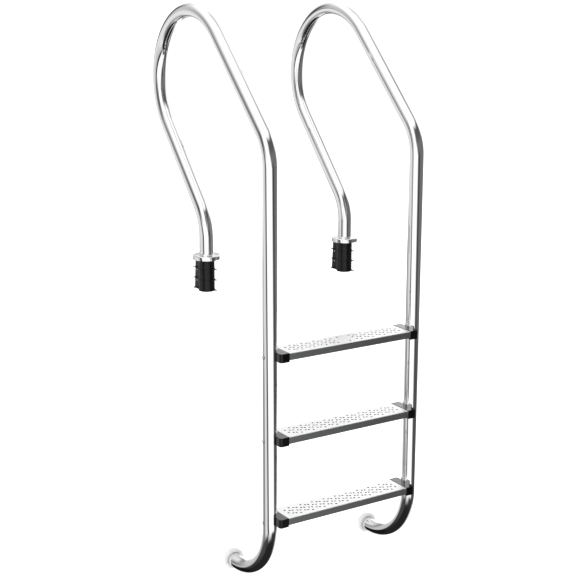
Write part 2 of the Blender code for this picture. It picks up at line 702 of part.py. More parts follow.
# move the origin to the upper tread
shift = Vector((0.0, -LEG_Y, -TREAD_TOPS[0]))
for placed in bpy.data.objects:
    placed.location = placed.location + shift
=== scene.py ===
# Looks of a three-tread pool ladder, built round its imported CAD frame: two bent rails with
# bumpers at their lower ends, capped treads, escutcheons, and deck anchors with wedges.
#
# Frame: +Z up, +X along the treads, +Y from the water toward the deck, origin at the centre of
# the upper tread's top face. Left is -X. Lengths are in metres.

import math

import bpy
import bmesh
from mathutils import Matrix, Vector
from mathutils.geometry import delaunay_2d_cdt


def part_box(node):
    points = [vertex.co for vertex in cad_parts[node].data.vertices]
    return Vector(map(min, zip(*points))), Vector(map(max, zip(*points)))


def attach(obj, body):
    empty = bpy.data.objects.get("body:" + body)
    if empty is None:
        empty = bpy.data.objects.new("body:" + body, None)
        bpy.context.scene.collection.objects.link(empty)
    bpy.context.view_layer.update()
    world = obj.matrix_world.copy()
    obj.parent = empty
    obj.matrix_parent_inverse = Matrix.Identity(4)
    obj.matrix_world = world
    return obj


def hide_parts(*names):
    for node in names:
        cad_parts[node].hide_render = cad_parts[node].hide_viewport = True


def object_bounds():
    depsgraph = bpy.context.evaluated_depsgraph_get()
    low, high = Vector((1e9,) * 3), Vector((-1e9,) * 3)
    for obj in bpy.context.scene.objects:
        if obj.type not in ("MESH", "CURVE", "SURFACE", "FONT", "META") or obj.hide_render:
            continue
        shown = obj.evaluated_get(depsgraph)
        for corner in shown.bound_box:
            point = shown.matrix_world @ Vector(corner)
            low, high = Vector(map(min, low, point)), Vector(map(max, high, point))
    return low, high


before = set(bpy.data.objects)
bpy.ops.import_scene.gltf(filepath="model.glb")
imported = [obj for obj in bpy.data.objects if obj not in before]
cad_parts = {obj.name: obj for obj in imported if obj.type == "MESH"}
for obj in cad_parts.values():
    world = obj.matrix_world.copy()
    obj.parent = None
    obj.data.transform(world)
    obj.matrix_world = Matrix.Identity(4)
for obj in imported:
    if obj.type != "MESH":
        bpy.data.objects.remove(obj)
CAD_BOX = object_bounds()

MM = 0.001
SIDES = (("left", -1.0), ("right", 1.0))
TREADS = ("upper", "middle", "lower")


def centre(node):
    low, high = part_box(node)
    return (low + high) / 2


# ------------------------------------------------------------------ places, from the CAD
RAIL_X = {side: centre(side + "_rail").x for side, _ in SIDES}
ANCHOR_Y = centre("left_escutcheon").y
DECK_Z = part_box("left_escutcheon")[0].z
TOP_Z = {tread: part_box(tread + "_tread")[1].z for tread in TREADS}
HALF_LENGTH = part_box("upper_tread")[1].x
LEG_DATUM = TOP_Z["lower"] - 98.2 * MM       # height that the rail's path is measured from

# ------------------------------------------------------------------ dimensions
GAP = 0.3 * MM                               # clearance between pieces

TUBE_OD = 42.4 * MM
TUBE_WALL = 1.5 * MM
TUBE_SIDES = 72
RAIL_SPACING = 508.0 * MM

# the rail's path, from its lower end up the leg, over the hoop and down to the anchor
J_CENTRE_Z = 69.5 * MM
J_RADIUS = 188.5 * MM
J_TURN = math.radians(95.5)
J_TAIL = 22.0 * MM
LEG_TOP_Z = 1119.8 * MM
OUT_BEND_R = 137.2 * MM
OUT_BEND_TURN = math.radians(44.2)
RISE_LENGTH = 351.7 * MM
HOOP_R = 209.1 * MM
HOOP_TURN = math.radians(177.1)
FALL_LENGTH = 300.6 * MM
IN_BEND_R = 133.7 * MM
IN_BEND_TURN = OUT_BEND_TURN + HOOP_TURN - math.pi
TUBE_END_DEPTH = 90.0 * MM                   # below the deck
BEND_STEP = math.radians(1.25)
STRAIGHT_STEP = 50.0 * MM
CLOSEST_RINGS = 4.0 * MM
HOLE_MARGIN = 8.0 * MM                       # from a bolt's axis to the rings round its hole

HALF_DEPTH = 43.0 * MM
TREAD_HEIGHT = 21.3 * MM
SHEET = 1.2 * MM
FOLD_R = 3.0 * MM
LIP = 9.0 * MM
LIP_FOLD_R = 2.2 * MM
FOLD_STEPS = 10
LIP_FOLD_STEPS = 6

# staggered columns of round dimples pressed into the treads
PIT_R = 3.3 * MM
PIT_DEPTH = 1.1 * MM
PIT_SIDES = 20
PIT_RIM = 1.3                                # outer edge of the dimple's mesh, in pit radii
DOT_PERIOD = 41.65 * MM
DOT_START = -172.9 * MM
TRIPLE_ROWS = (24.5 * MM, 3.3 * MM, -17.9 * MM)
PAIR_ROWS = (14.3 * MM, -6.9 * MM)
BLANK_HALF_X = 30 * MM
BLANK_HALF_Y = 22 * MM

CAP_EAR = 8.7 * MM                           # from the rail's axis to the ends of the cap's ears
CAP_PROUD = 0.8 * MM
CAP_TOP = 1.0 * MM
CAP_BOTTOM = 25.6 * MM
CAP_CORNER_R = 9.0 * MM
CAP_ROUNDING = 1.6 * MM
CAP_TONGUE = 30.0 * MM
TONGUE_CORNER_R = 3.0 * MM
CAP_END = RAIL_SPACING / 2 - HALF_LENGTH - GAP
CAP_SEAT_R = TUBE_OD / 2 + GAP

BOLT_DROP = 14.2 * MM
BOLT_D = 8.0 * MM
BOLT_HOLE_D = 9.0 * MM
BOLT_FIT_R = BOLT_D / 2 + GAP
BOLT_REACH = 62.0 * MM                       # from the rail's axis to the bolt's tip
BOLT_THREAD = 22.0 * MM
PITCH = 1.25 * MM
THREAD_DEPTH = 0.55 * MM
NUT_AF = 13.0 * MM
NUT_H = 6.5 * MM
NUT_FROM_AXIS = 52.3 * MM
NUT_WASHER_R = 7.0 * MM
WASHER_T = 1.6 * MM
DOME_R = 5.8 * MM
DOME_H = 1.9 * MM
DOME_FLAT_R = 2.1 * MM
DOME_RIM = 0.4 * MM
DOME_KEY_AF = 3.2 * MM
DOME_KEY_DEPTH = 1.3 * MM

BUMPER_R = 33.6 * MM
BUMPER_LENGTH = 33.6 * MM
BUMPER_ROUNDING = 2.2 * MM
BUMPER_STEPS = 22

ESC_R = 42.15 * MM
ESC_H = 12.7 * MM
ESC_SHEET = 1.2 * MM
ESC_ROUNDING = 3.0 * MM
ESC_NECK_R = 1.6 * MM

# the anchor: a round socket with a tapered housing on its +Y side; heights are from the deck
ANCHOR_R = 24.4 * MM
ANCHOR_BORE_R = 21.75 * MM
ANCHOR_H = 98.3 * MM
ANCHOR_TOP = -0.3 * MM
ANCHOR_EDGE = 0.8 * MM
HOUSING_HALF_W = 15.0 * MM
HOUSING_TOP_Y = 44.0 * MM
HOUSING_FOOT_Y = 50.5 * MM
HOUSING_WALL = 3.0 * MM
POCKET_LOW = -92.0 * MM
POCKET_HIGH = -9.0 * MM
POCKET_START_Y = 14.0 * MM
FIN_LEVELS = (-31.3 * MM, -63.6 * MM, -95.3 * MM)
FIN_THICK = 1.6 * MM
FIN_PROUD = 0.8 * MM
GROOVE_DEPTH = 0.9 * MM
GROOVE_H = 1.0 * MM
FOOT_HOLE_R = 15.0 * MM
PLUG_R = 2.3 * MM
PLUG_HOLE_R = 2.6 * MM
PLUG_Y = 34.0 * MM
PLUG_DROP = 7.2 * MM                         # below the fin above it
PLUG_LEVELS = (("upper", FIN_LEVELS[0]), ("lower", FIN_LEVELS[1]))

WEDGE_ANGLE = math.atan((HOUSING_FOOT_Y - HOUSING_TOP_Y) / ANCHOR_H)
WEDGE_BOLT_Y = 32.0 * MM
WEDGE_LOW = -84.0 * MM
WEDGE_H = 30.0 * MM
WEDGE_FACE_R = TUBE_OD / 2 + 0.9 * MM
WEDGE_SLOT = 0.7 * MM
WEDGE_BOLT_DEPTH = 86.0 * MM
WEDGE_BOLT_THREAD = 62.0 * MM
WEDGE_WASHER_R = 7.9 * MM


# ------------------------------------------------------------------ materials
class Nodes:
    """Small helper round one material's node tree."""

    def __init__(self, name):
        self.mat = bpy.data.materials.new(name)
        self.mat.use_nodes = True
        self.tree = self.mat.node_tree
        self.shader = self.tree.nodes["Principled BSDF"]
        self.object = self.add("ShaderNodeTexCoord").outputs["Object"]

    def add(self, kind, **values):
        node = self.tree.nodes.new(kind)
        for key, value in values.items():
            setattr(node, key, value)
        return node

    def link(self, output, socket):
        self.tree.links.new(output, socket)

    def stretched(self, scale):
        mapping = self.add("ShaderNodeMapping")
        mapping.inputs["Scale"].default_value = scale
        self.link(self.object, mapping.inputs["Vector"])
        return mapping.outputs["Vector"]

    def noise(self, scale, detail=3.0, rough=0.5, vector=None):
        node = self.add("ShaderNodeTexNoise")
        node.inputs["Scale"].default_value = scale
        node.inputs["Detail"].default_value = detail
        node.inputs["Roughness"].default_value = rough
        self.link(vector or self.object, node.inputs["Vector"])
        return node.outputs["Fac"]

    def span(self, value, low, high, from_low=0.3, from_high=0.7):
        """Carry value from one range to another; the first defaults to the bulk of a noise."""
        node = self.add("ShaderNodeMapRange")
        node.inputs["From Min"].default_value = from_low
        node.inputs["From Max"].default_value = from_high
        node.inputs["To Min"].default_value = low
        node.inputs["To Max"].default_value = high
        self.link(value, node.inputs["Value"])
        return node.outputs["Result"]

    def facing(self, axis, both=False):
        """How squarely the surface looks along an axis, or along it either way."""
        geometry = self.add("ShaderNodeNewGeometry")
        parts = self.add("ShaderNodeSeparateXYZ")
        self.link(geometry.outputs["True Normal"], parts.inputs[0])
        if not both:
            return parts.outputs[axis]
        size = self.add("ShaderNodeMath", operation="ABSOLUTE")
        self.link(parts.outputs[axis], size.inputs[0])
        return size.outputs[0]

    def mix_node(self, kind, factor):
        node = self.add("ShaderNodeMix", data_type=kind)
        self.link(factor, node.inputs["Factor"])
        return node

    def blend(self, noise, first, second):
        """Colours from first to second as the noise rises."""
        node = self.mix_node("RGBA", self.span(noise, low=0.0, high=1.0))
        node.inputs["A"].default_value = (*first, 1.0)
        node.inputs["B"].default_value = (*second, 1.0)
        return node.outputs["Result"]

    def bump(self, height, strength, distance):
        node = self.add("ShaderNodeBump")
        node.inputs["Strength"].default_value = strength
        node.inputs["Distance"].default_value = distance
        self.link(height, node.inputs["Height"])
        self.link(node.outputs["Normal"], self.shader.inputs["Normal"])

    def set(self, **values):
        """Set or link the shader's inputs; an underscore stands for a space."""
        for key, value in values.items():
            socket = self.shader.inputs[key.replace("_", " ")]
            if isinstance(value, bpy.types.NodeSocket):
                self.link(value, socket)
            else:
                socket.default_value = value


def polished_steel(name):
    nodes = Nodes(name)
    tone = 0.86
    smudge = nodes.noise(scale=9.0, detail=4.0, rough=0.55)
    fine = nodes.noise(scale=900.0, detail=2.0)
    nodes.set(Metallic=1.0,
              Base_Color=nodes.blend(smudge, (tone * 0.97, tone * 0.975, tone * 0.98), (tone,) * 3),
              Roughness=nodes.span(smudge, low=0.03, high=0.06))
    nodes.bump(fine, strength=0.05, distance=0.00004)
    return nodes.mat


def tread_steel(name):
    """Bright on the flat top; the faces square to Y are darker and rougher, set by which way they
    face.
    """
    nodes = Nodes(name)
    smudge = nodes.noise(scale=9.0, detail=4.0, rough=0.55)
    fine = nodes.noise(scale=900.0, detail=2.0, vector=nodes.stretched((0.04, 1.0, 1.0)))
    # faces square to Y get a darker tone and rougher gloss, chosen by face direction alone
    side = nodes.span(nodes.facing("Y", both=True), low=0.0, high=1.0, from_low=0.75, from_high=0.97)
    tone = nodes.mix_node("RGBA", side)
    nodes.link(nodes.blend(smudge, (0.92, 0.922, 0.925), (0.945, 0.945, 0.945)), tone.inputs["A"])
    nodes.link(nodes.blend(fine, (0.24, 0.244, 0.25), (0.29, 0.294, 0.30)), tone.inputs["B"])
    rough = nodes.mix_node("FLOAT", side)
    nodes.link(nodes.span(smudge, low=0.42, high=0.48), rough.inputs["A"])
    nodes.link(nodes.span(fine, low=0.50, high=0.60), rough.inputs["B"])
    nodes.set(Metallic=1.0, Base_Color=tone.outputs["Result"], Roughness=rough.outputs["Result"])
    nodes.bump(fine, strength=0.05, distance=0.00004)
    return nodes.mat


def painted_pit_shade(name):
    """Painted shade: the near-black inside of the tread's dimples."""
    nodes = Nodes(name)
    grit = nodes.noise(scale=2500.0, rough=0.6)
    nodes.set(Metallic=1.0, Roughness=0.6,
              Base_Color=nodes.blend(grit, (0.01, 0.01, 0.011), (0.03, 0.03, 0.032)))
    nodes.bump(grit, strength=0.4, distance=0.0001)
    return nodes.mat


def plain_steel(name):
    nodes = Nodes(name)
    fine = nodes.noise(scale=1400.0, rough=0.6)
    stain = nodes.noise(scale=120.0, rough=0.6)
    nodes.set(Metallic=1.0, Base_Color=nodes.blend(stain, (0.558,) * 3, (0.62,) * 3),
              Roughness=nodes.span(fine, low=0.22, high=0.36))
    nodes.bump(fine, strength=0.15, distance=0.00005)
    return nodes.mat


def black_plastic(name, tone, rough, top_sheen_coat, shine, end_shine):
    """Gloss by face direction: the coat weight given is for faces that look up, a painted sheen;
    end_shine is for those square to Y, painted shade where below shine; shine is for the rest.
    """
    nodes = Nodes(name)
    skin = nodes.noise(scale=2600.0, detail=2.0)
    cloud = nodes.noise(scale=60.0)
    nodes.set(Base_Color=nodes.blend(cloud, (tone * 0.8, tone * 0.8, tone * 0.85),
                                     (tone * 1.25, tone * 1.25, tone * 1.3)),
              Roughness=nodes.span(cloud, *rough),
              # extra coat on faces that look up is painted sheen; lower specular on faces square to
              # Y is painted shade
              Specular_IOR_Level=nodes.span(nodes.facing("Y", both=True), low=shine,
                                            high=end_shine, from_low=0.9, from_high=0.99),
              Coat_Weight=nodes.span(nodes.facing("Z"), low=0.0, high=top_sheen_coat,
                                     from_low=0.5, from_high=0.9),
              Coat_Roughness=rough[0], Coat_IOR=1.5)
    nodes.bump(skin, strength=0.12, distance=0.00006)
    return nodes.mat


def white_rubber(name):
    nodes = Nodes(name)
    skin = nodes.noise(scale=1500.0, detail=2.0)
    cloud = nodes.noise(scale=45.0)
    nodes.set(Base_Color=nodes.blend(cloud, (0.80, 0.80, 0.79), (0.87, 0.87, 0.865)),
              Roughness=nodes.span(cloud, low=0.38, high=0.5),
              Subsurface_Weight=0.25, Subsurface_Radius=(0.01, 0.01, 0.01), Subsurface_Scale=0.6)
    nodes.bump(skin, strength=0.12, distance=0.00006)
    return nodes.mat


def grey_plastic(name):
    nodes = Nodes(name)
    skin = nodes.noise(scale=2200.0, detail=2.0)
    nodes.set(Base_Color=nodes.blend(skin, (0.30, 0.30, 0.305), (0.40, 0.40, 0.405)),
              Roughness=nodes.span(skin, low=0.35, high=0.5))
    nodes.bump(skin, strength=0.15, distance=0.00005)
    return nodes.mat


def cast_metal(name):
    nodes = Nodes(name)
    grit = nodes.noise(scale=700.0, detail=4.0, rough=0.65)
    stain = nodes.noise(scale=90.0, rough=0.6)
    nodes.set(Metallic=1.0,
              Base_Color=nodes.blend(stain, (0.34, 0.345, 0.36), (0.47, 0.475, 0.49)),
              Roughness=nodes.span(grit, low=0.42, high=0.62))
    nodes.bump(grit, strength=0.6, distance=0.0002)
    return nodes.mat


MATS = {
    "rail": polished_steel("polished_tube"),
    "tread": tread_steel("polished_sheet"),
    "dimple": painted_pit_shade("dimple_painted_shade"),
    "escutcheon": polished_steel("polished_cover"),
    # caps: painted sheen on their tops and painted shade on their ends square to Y
    "cap": black_plastic("cap_plastic", tone=0.003, rough=(0.10, 0.16), top_sheen_coat=1.0, shine=0.3,
                         end_shine=0.05),
    "anchor": black_plastic("anchor_plastic", tone=0.004, rough=(0.13, 0.19), top_sheen_coat=0.0, shine=0.25,
                            end_shine=0.25),
    "fastener": plain_steel("plain_fastener"),
    "bumper": white_rubber("white_rubber"),
    "plug": grey_plastic("grey_plug"),
    "wedge": cast_metal("cast_wedge"),
}


# ------------------------------------------------------------------ mesh helpers
def arc(x, y, radius, start, end, steps):
    """Points on an arc round (x, y), its angles in degrees."""
    angles = [math.radians(start + (end - start) * i / steps) for i in range(steps + 1)]
    return [(x + radius * math.cos(angle), y + radius * math.sin(angle)) for angle in angles]


def circle(mesh, radius, z, sides, x=0.0, y=0.0):
    return [mesh.verts.new((x + radius * math.cos(2 * math.pi * i / sides),
                            y + radius * math.sin(2 * math.pi * i / sides), z))
            for i in range(sides)]


def bridge(mesh, rings):
    """Join each ring of corners to the next; returns the faces."""
    faces = []
    for low, high in zip(rings, rings[1:]):
        for i in range(len(low)):
            j = (i + 1) % len(low)
            faces.append(mesh.faces.new((low[i], low[j], high[j], high[i])))
    return faces


def turn_about_y(mesh, degrees):
    bmesh.ops.rotate(mesh, verts=mesh.verts, matrix=Matrix.Rotation(math.radians(degrees), 3, "Y"))


def lathe(profile, sides, axis="Z"):
    """Turn an (r, h) profile about the axis; r = 0 ends close on the axis, others join up."""
    mesh = bmesh.new()
    rings = []
    for radius, height in profile:
        if radius < 1e-9:
            rings.append([mesh.verts.new((0.0, 0.0, height))])
        else:
            rings.append(circle(mesh, radius, height, sides))
    pairs = list(zip(rings, rings[1:]))
    if profile[0][0] > 1e-9:
        pairs.append((rings[-1], rings[0]))
    for low, high in pairs:
        for i in range(sides):
            j = (i + 1) % sides
            if len(low) == 1:
                mesh.faces.new((low[0], high[j], high[i]))
            elif len(high) == 1:
                mesh.faces.new((low[i], low[j], high[0]))
            else:
                mesh.faces.new((low[i], low[j], high[j], high[i]))
    if axis == "X":
        turn_about_y(mesh, 90)
    return mesh


def rod(radius, low, high, sides, axis="Z"):
    return lathe([(0, low), (radius, low), (radius, high), (0, high)], sides, axis)


def prism(outline, low, high, axis="Z"):
    """Extrude an outline, (x, y) along Z or (y, z) along X."""
    mesh = bmesh.new()

    def put(point, height):
        return mesh.verts.new((*point, height) if axis == "Z" else (height, *point))
    bottom = [put(point, low) for point in outline]
    top = [put(point, high) for point in outline]
    mesh.faces.new(bottom[::-1])
    mesh.faces.new(top)
    bridge(mesh, [bottom, top])
    return mesh


def block(x0, x1, y0, y1, z0, z1):
    return prism([(x0, y0), (x1, y0), (x1, y1), (x0, y1)], z0, z1)


def smooth(piece, sharp):
    piece.data.shade_smooth()
    piece.data.set_sharp_from_angle(angle=math.radians(sharp))


def make(name, mesh, location=(0, 0, 0), turn=None, sharp=35.0, material=None):
    bmesh.ops.recalc_face_normals(mesh, faces=mesh.faces)
    data = bpy.data.meshes.new(name)
    mesh.to_mesh(data)
    mesh.free()
    if material:
        data.materials.append(MATS[material])
    piece = bpy.data.objects.new(name, data)
    bpy.context.scene.collection.objects.link(piece)
    piece.location = location
    if turn is not None:
        piece.rotation_mode = "QUATERNION"
        piece.rotation_quaternion = turn
    smooth(piece, sharp)
    return piece


def even(piece):
    """Let the large faces set the shading, so that flats look flat beside their rounded edges."""
    modifier = piece.modifiers.new("even", "WEIGHTED_NORMAL")
    modifier.mode = "FACE_AREA"
    modifier.weight = 50
    modifier.keep_sharp = True


def settle(piece):
    """Apply every modifier on the piece to its mesh."""
    bpy.context.view_layer.update()
    graph = bpy.context.evaluated_depsgraph_get()
    data = bpy.data.meshes.new_from_object(piece.evaluated_get(graph))
    piece.modifiers.clear()
    old = piece.data
    name = old.name
    piece.data = data
    bpy.data.meshes.remove(old)
    data.name = name


CUT, JOIN = "DIFFERENCE", "UNION"


def carve(piece, cutters, sharp=None):
    """Apply (operation, mesh, location) cutters in order, each turned as the piece is."""
    made = []
    for k, (operation, mesh, location) in enumerate(cutters):
        cutter = make("%s_cut_%d" % (piece.name, k), mesh, location, piece.rotation_quaternion)
        modifier = piece.modifiers.new("b%d" % k, "BOOLEAN")
        modifier.operation = operation
        modifier.solver = "EXACT"
        modifier.object = cutter
        made.append(cutter)
    settle(piece)
    for cutter in made:
        data = cutter.data
        bpy.data.objects.remove(cutter)
        bpy.data.meshes.remove(data)
    if sharp is not None:
        smooth(piece, sharp)


def soften(piece, width, segments, angle, sharp):
    """A small rounding on the piece's hard edges."""
    modifier = piece.modifiers.new("edge", "BEVEL")
    modifier.width = width
    modifier.segments = segments
    modifier.limit_method = "ANGLE"
    modifier.angle_limit = math.radians(angle)
    modifier.use_clamp_overlap = True
    modifier.miter_outer = "MITER_SHARP"
    settle(piece)
    smooth(piece, sharp)


def place(piece, body, node):
    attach(piece, body)
    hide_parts(node)


def inward(sign):
    """Turn that points a part's +X from its rail toward the treads."""
    return Matrix.Rotation(0 if sign < 0 else math.pi, 3, "Z").to_quaternion()


# ------------------------------------------------------------------ rails
def rail_path():
    """Centre line as (y, z, heading), from the lower free end to the anchor; heading 0 is up."""
    path = []

    def bend(radius, turn):
        y, z, heading = path[-1]
        sign = 1.0 if turn > 0 else -1.0
        centre_y = y + sign * radius * math.cos(heading)
        centre_z = z - sign * radius * math.sin(heading)
        steps = round(abs(turn) / BEND_STEP)
        for i in range(1, steps + 1):
            angle = heading + turn * i / steps
            path.append((centre_y - sign * radius * math.cos(angle),
                         centre_z + sign * radius * math.sin(angle), angle))

    def straight(length, marks=()):
        """Evenly spaced stops and the marks, without stops too close above another."""
        y, z, heading = path[-1]
        steps = max(1, int(length / STRAIGHT_STEP))
        stops = sorted({length * i / steps for i in range(1, steps + 1)}
                       | {mark for mark in marks if 0 < mark < length})
        kept = []
        for stop in stops:
            if kept and stop - kept[-1] < CLOSEST_RINGS and stop not in marks:
                if stop == stops[-1]:
                    kept[-1] = stop
                continue
            kept.append(stop)
        for stop in kept:
            path.append((y + math.sin(heading) * stop, z + math.cos(heading) * stop, heading))

    y = J_RADIUS - J_RADIUS * math.cos(J_TURN)
    z = J_CENTRE_Z - J_RADIUS * math.sin(J_TURN)
    path.append((y + math.sin(J_TURN) * J_TAIL, z - math.cos(J_TURN) * J_TAIL, -J_TURN))
    path.append((y, z, -J_TURN))
    bend(J_RADIUS, J_TURN)
    marks = []
    for tread in TREADS:
        hole = TOP_Z[tread] - BOLT_DROP - LEG_DATUM - J_CENTRE_Z
        marks += [hole - HOLE_MARGIN, hole + HOLE_MARGIN]
    straight(LEG_TOP_Z - J_CENTRE_Z, marks)
    bend(OUT_BEND_R, OUT_BEND_TURN)
    straight(RISE_LENGTH)
    bend(HOOP_R, HOOP_TURN)
    straight(FALL_LENGTH)
    bend(IN_BEND_R, -IN_BEND_TURN)
    straight(path[-1][1] - (DECK_Z - LEG_DATUM - TUBE_END_DEPTH))
    return [(y, z + LEG_DATUM, heading) for y, z, heading in path]


PATH = rail_path()


def rail_mesh():
    mesh = bmesh.new()

    def ring(y, z, heading, radius):
        across_y, across_z = math.cos(heading), -math.sin(heading)
        corners = []
        for i in range(TUBE_SIDES):
            angle = 2 * math.pi * i / TUBE_SIDES
            corners.append(mesh.verts.new((radius * math.cos(angle),
                                           y + radius * math.sin(angle) * across_y,
                                           z + radius * math.sin(angle) * across_z)))
        return corners
    outer = [ring(*station, TUBE_OD / 2) for station in PATH]
    inner = [ring(*station, TUBE_OD / 2 - TUBE_WALL) for station in PATH]
    bridge(mesh, outer)
    bridge(mesh, inner)
    for k in (0, -1):                                # the tube's two ends
        for i in range(TUBE_SIDES):
            j = (i + 1) % TUBE_SIDES
            mesh.faces.new((outer[k][i], inner[k][i], inner[k][j], outer[k][j]))
    return mesh


for side, _ in SIDES:
    rail = make(side + "_rail_tube", rail_mesh(), (RAIL_X[side], 0, 0), material="rail", sharp=30)
    carve(rail, [(CUT, rod(BOLT_HOLE_D / 2, -35 * MM, 35 * MM, 24, "X"),
                  (RAIL_X[side], 0, TOP_Z[tread] - BOLT_DROP)) for tread in TREADS], sharp=30)
    place(rail, "ladder_frame", side + "_rail")


# ------------------------------------------------------------------ treads
def dot_centres(blank):
    """Staggered columns of dimples, each set followed by the same turned half round.

    blank leaves a bare patch at the middle."""
    dots = []
    for k in range(9):
        dots += [(DOT_START + DOT_PERIOD * k, y) for y in TRIPLE_ROWS]
        dots += [(DOT_START + 12.6 * MM + DOT_PERIOD * k, -y) for y in TRIPLE_ROWS]
    for k in range(10):
        dots += [(DOT_START + 21.3 * MM + DOT_PERIOD * (k - 1), y) for y in PAIR_ROWS]
        dots += [(DOT_START - 8.7 * MM + DOT_PERIOD * k, -y) for y in PAIR_ROWS]
    if blank:
        dots = [(x, y) for x, y in dots if not (abs(x) < BLANK_HALF_X and abs(y) < BLANK_HALF_Y)]
    return dots


def tread_section(inset):
    """(y, z) line of the folded sheet, from the +Y lip over the top to the -Y lip."""
    lip_y, lip_z = HALF_DEPTH - LIP_FOLD_R, -TREAD_HEIGHT + LIP_FOLD_R
    fold_y = HALF_DEPTH - FOLD_R
    points = [(HALF_DEPTH - LIP, -TREAD_HEIGHT + inset)]
    points += arc(lip_y, lip_z, LIP_FOLD_R - inset, -90, 0, LIP_FOLD_STEPS)
    points += arc(fold_y, -FOLD_R, FOLD_R - inset, 0, 90, FOLD_STEPS)
    points += arc(-fold_y, -FOLD_R, FOLD_R - inset, 90, 180, FOLD_STEPS)
    points += arc(-lip_y, lip_z, LIP_FOLD_R - inset, 180, 270, LIP_FOLD_STEPS)
    points += [(-HALF_DEPTH + LIP, -TREAD_HEIGHT + inset)]
    return points


# each dimple's rings inside its rim: radius in pit radii, height from the face it is in
DIMPLE_ABOVE = [(1.1, 0.0), (1.03, -0.03 * MM), (1.0, -0.12 * MM), (0.97, -PIT_DEPTH + 0.2 * MM),
                (0.9, -PIT_DEPTH), (0.5, -PIT_DEPTH)]
DIMPLE_BELOW = [(1.27, -0.5 * MM), (1.12, -PIT_DEPTH + 0.1 * MM), (0.6, -PIT_DEPTH + 0.1 * MM)]


def flat_layout(dots):
    """Triangles over the flat top, whose first four points are its corners, then the rims."""
    half_y = HALF_DEPTH - FOLD_R
    points = [Vector(corner) for corner in ((-HALF_LENGTH, -half_y), (HALF_LENGTH, -half_y),
                                            (HALF_LENGTH, half_y), (-HALF_LENGTH, half_y))]
    faces = [list(range(4))]
    for x, y in dots:
        first = len(points)
        for i in range(PIT_SIDES):
            angle = 2 * math.pi * i / PIT_SIDES
            points.append(Vector((x + PIT_RIM * PIT_R * math.cos(angle),
                                  y + PIT_RIM * PIT_R * math.sin(angle))))
        faces.append(list(range(first, first + PIT_SIDES)))
    places, _, triangles, sources, _, _ = delaunay_2d_cdt(points, [], faces, 1, 1e-7)
    return places, triangles, sources


def dimpled_flat(mesh, layout, dots, z, corners, rings, pit_material):
    """One face of the flat top, from the four given corners, with its dimples."""
    places, triangles, sources = layout
    verts = []
    for point, source in zip(places, sources):
        if source and source[0] < 4:
            verts.append(corners[source[0]])
        else:
            verts.append(mesh.verts.new((point.x, point.y, z)))
    made = {source[0]: vert for vert, source in zip(verts, sources) if source}
    rims = [[made[4 + c * PIT_SIDES + i] for i in range(PIT_SIDES)] for c in range(len(dots))]
    owner = {vert: c for c, rim in enumerate(rims) for vert in rim}
    for triangle in triangles:
        trio = [verts[i] for i in triangle]
        owners = {owner.get(vert) for vert in trio}
        if len(owners) > 1 or None in owners:        # not inside a dimple's rim
            mesh.faces.new(trio)
    for (x, y), last in zip(dots, rims):
        for ratio, height in rings:
            ring = circle(mesh, PIT_R * ratio, z + height, PIT_SIDES, x, y)
            for face in bridge(mesh, [last, ring]):
                face.material_index = pit_material if ratio < 0.99 else 0
            last = ring
        floor = mesh.verts.new((x, y, z + rings[-1][1]))
        for i in range(PIT_SIDES):
            face = mesh.faces.new((last[i], last[(i + 1) % PIT_SIDES], floor))
            face.material_index = pit_material


def tread_mesh(dots):
    outer, inner = tread_section(0.0), tread_section(SHEET)
    top = 1 + (LIP_FOLD_STEPS + 1) + FOLD_STEPS      # index of the last point of the first fold
    mesh = bmesh.new()
    ends = []
    for x in (-HALF_LENGTH, HALF_LENGTH):
        ends.append([[mesh.verts.new((x, y, z)) for y, z in line] for line in (outer, inner)])
    (out0, in0), (out1, in1) = ends
    for k in range(len(outer) - 1):
        if k != top:                                 # the flat top is made below, with its dots
            mesh.faces.new((out0[k], out0[k + 1], out1[k + 1], out1[k]))
            mesh.faces.new((in0[k + 1], in0[k], in1[k], in1[k + 1]))
        mesh.faces.new((out0[k + 1], out0[k], in0[k], in0[k + 1]))
        mesh.faces.new((out1[k], out1[k + 1], in1[k + 1], in1[k]))
    for k in (0, -1):                                # free edges of the lips
        mesh.faces.new((out0[k], out1[k], in1[k], in0[k]))

    layout = flat_layout(dots)
    for z, end0, end1, rings, pit_material in ((0.0, out0, out1, DIMPLE_ABOVE, 1),
                                               (-SHEET, in0, in1, DIMPLE_BELOW, 0)):
        corners = (end0[top + 1], end1[top + 1], end1[top], end0[top])
        dimpled_flat(mesh, layout, dots, z, corners, rings, pit_material)
    return mesh


for tread in TREADS:
    plate = make(tread + "_tread_plate", tread_mesh(dot_centres(blank=tread == "upper")),
                 (0, 0, TOP_Z[tread]), material="tread", sharp=28)
    # second material: near-black painted shade inside the dimples
    plate.data.materials.append(MATS["dimple"])
    even(plate)
    place(plate, "ladder_frame", tread + "_tread")


# ------------------------------------------------------------------ tread end caps
def cap_mesh():
    """The cap's body, with the rail's axis at x = 0 and the tread toward +X."""
    half_w = HALF_DEPTH + CAP_PROUD
    corner_x, corner_y = CAP_EAR + CAP_CORNER_R, half_w - CAP_CORNER_R
    seat_angle = math.degrees(math.acos(CAP_EAR / CAP_SEAT_R))
    outline = [(CAP_END, -half_w), (CAP_END, half_w)]
    outline += arc(corner_x, corner_y, CAP_CORNER_R, 90, 180, 10)
    outline += arc(0, 0, CAP_SEAT_R, seat_angle, -seat_angle, 20)
    outline += arc(corner_x, -corner_y, CAP_CORNER_R, 180, 270, 10)
    mesh = prism(outline, -CAP_BOTTOM, CAP_TOP)
    # the upper and lower edges, but for those along the tread's end and the tube's seat
    rim = [edge for edge in mesh.edges
           if abs(edge.verts[0].co.z - edge.verts[1].co.z) < 1e-6
           and not all(abs(v.co.x - CAP_END) < 1e-6 for v in edge.verts)
           and not all(math.hypot(v.co.x, v.co.y) < TUBE_OD / 2 + 2 * GAP for v in edge.verts)]
    bmesh.ops.bevel(mesh, geom=rim, offset=CAP_ROUNDING, segments=4, profile=0.5, affect="EDGES",
                    clamp_overlap=True, miter_outer="SHARP")
    return mesh


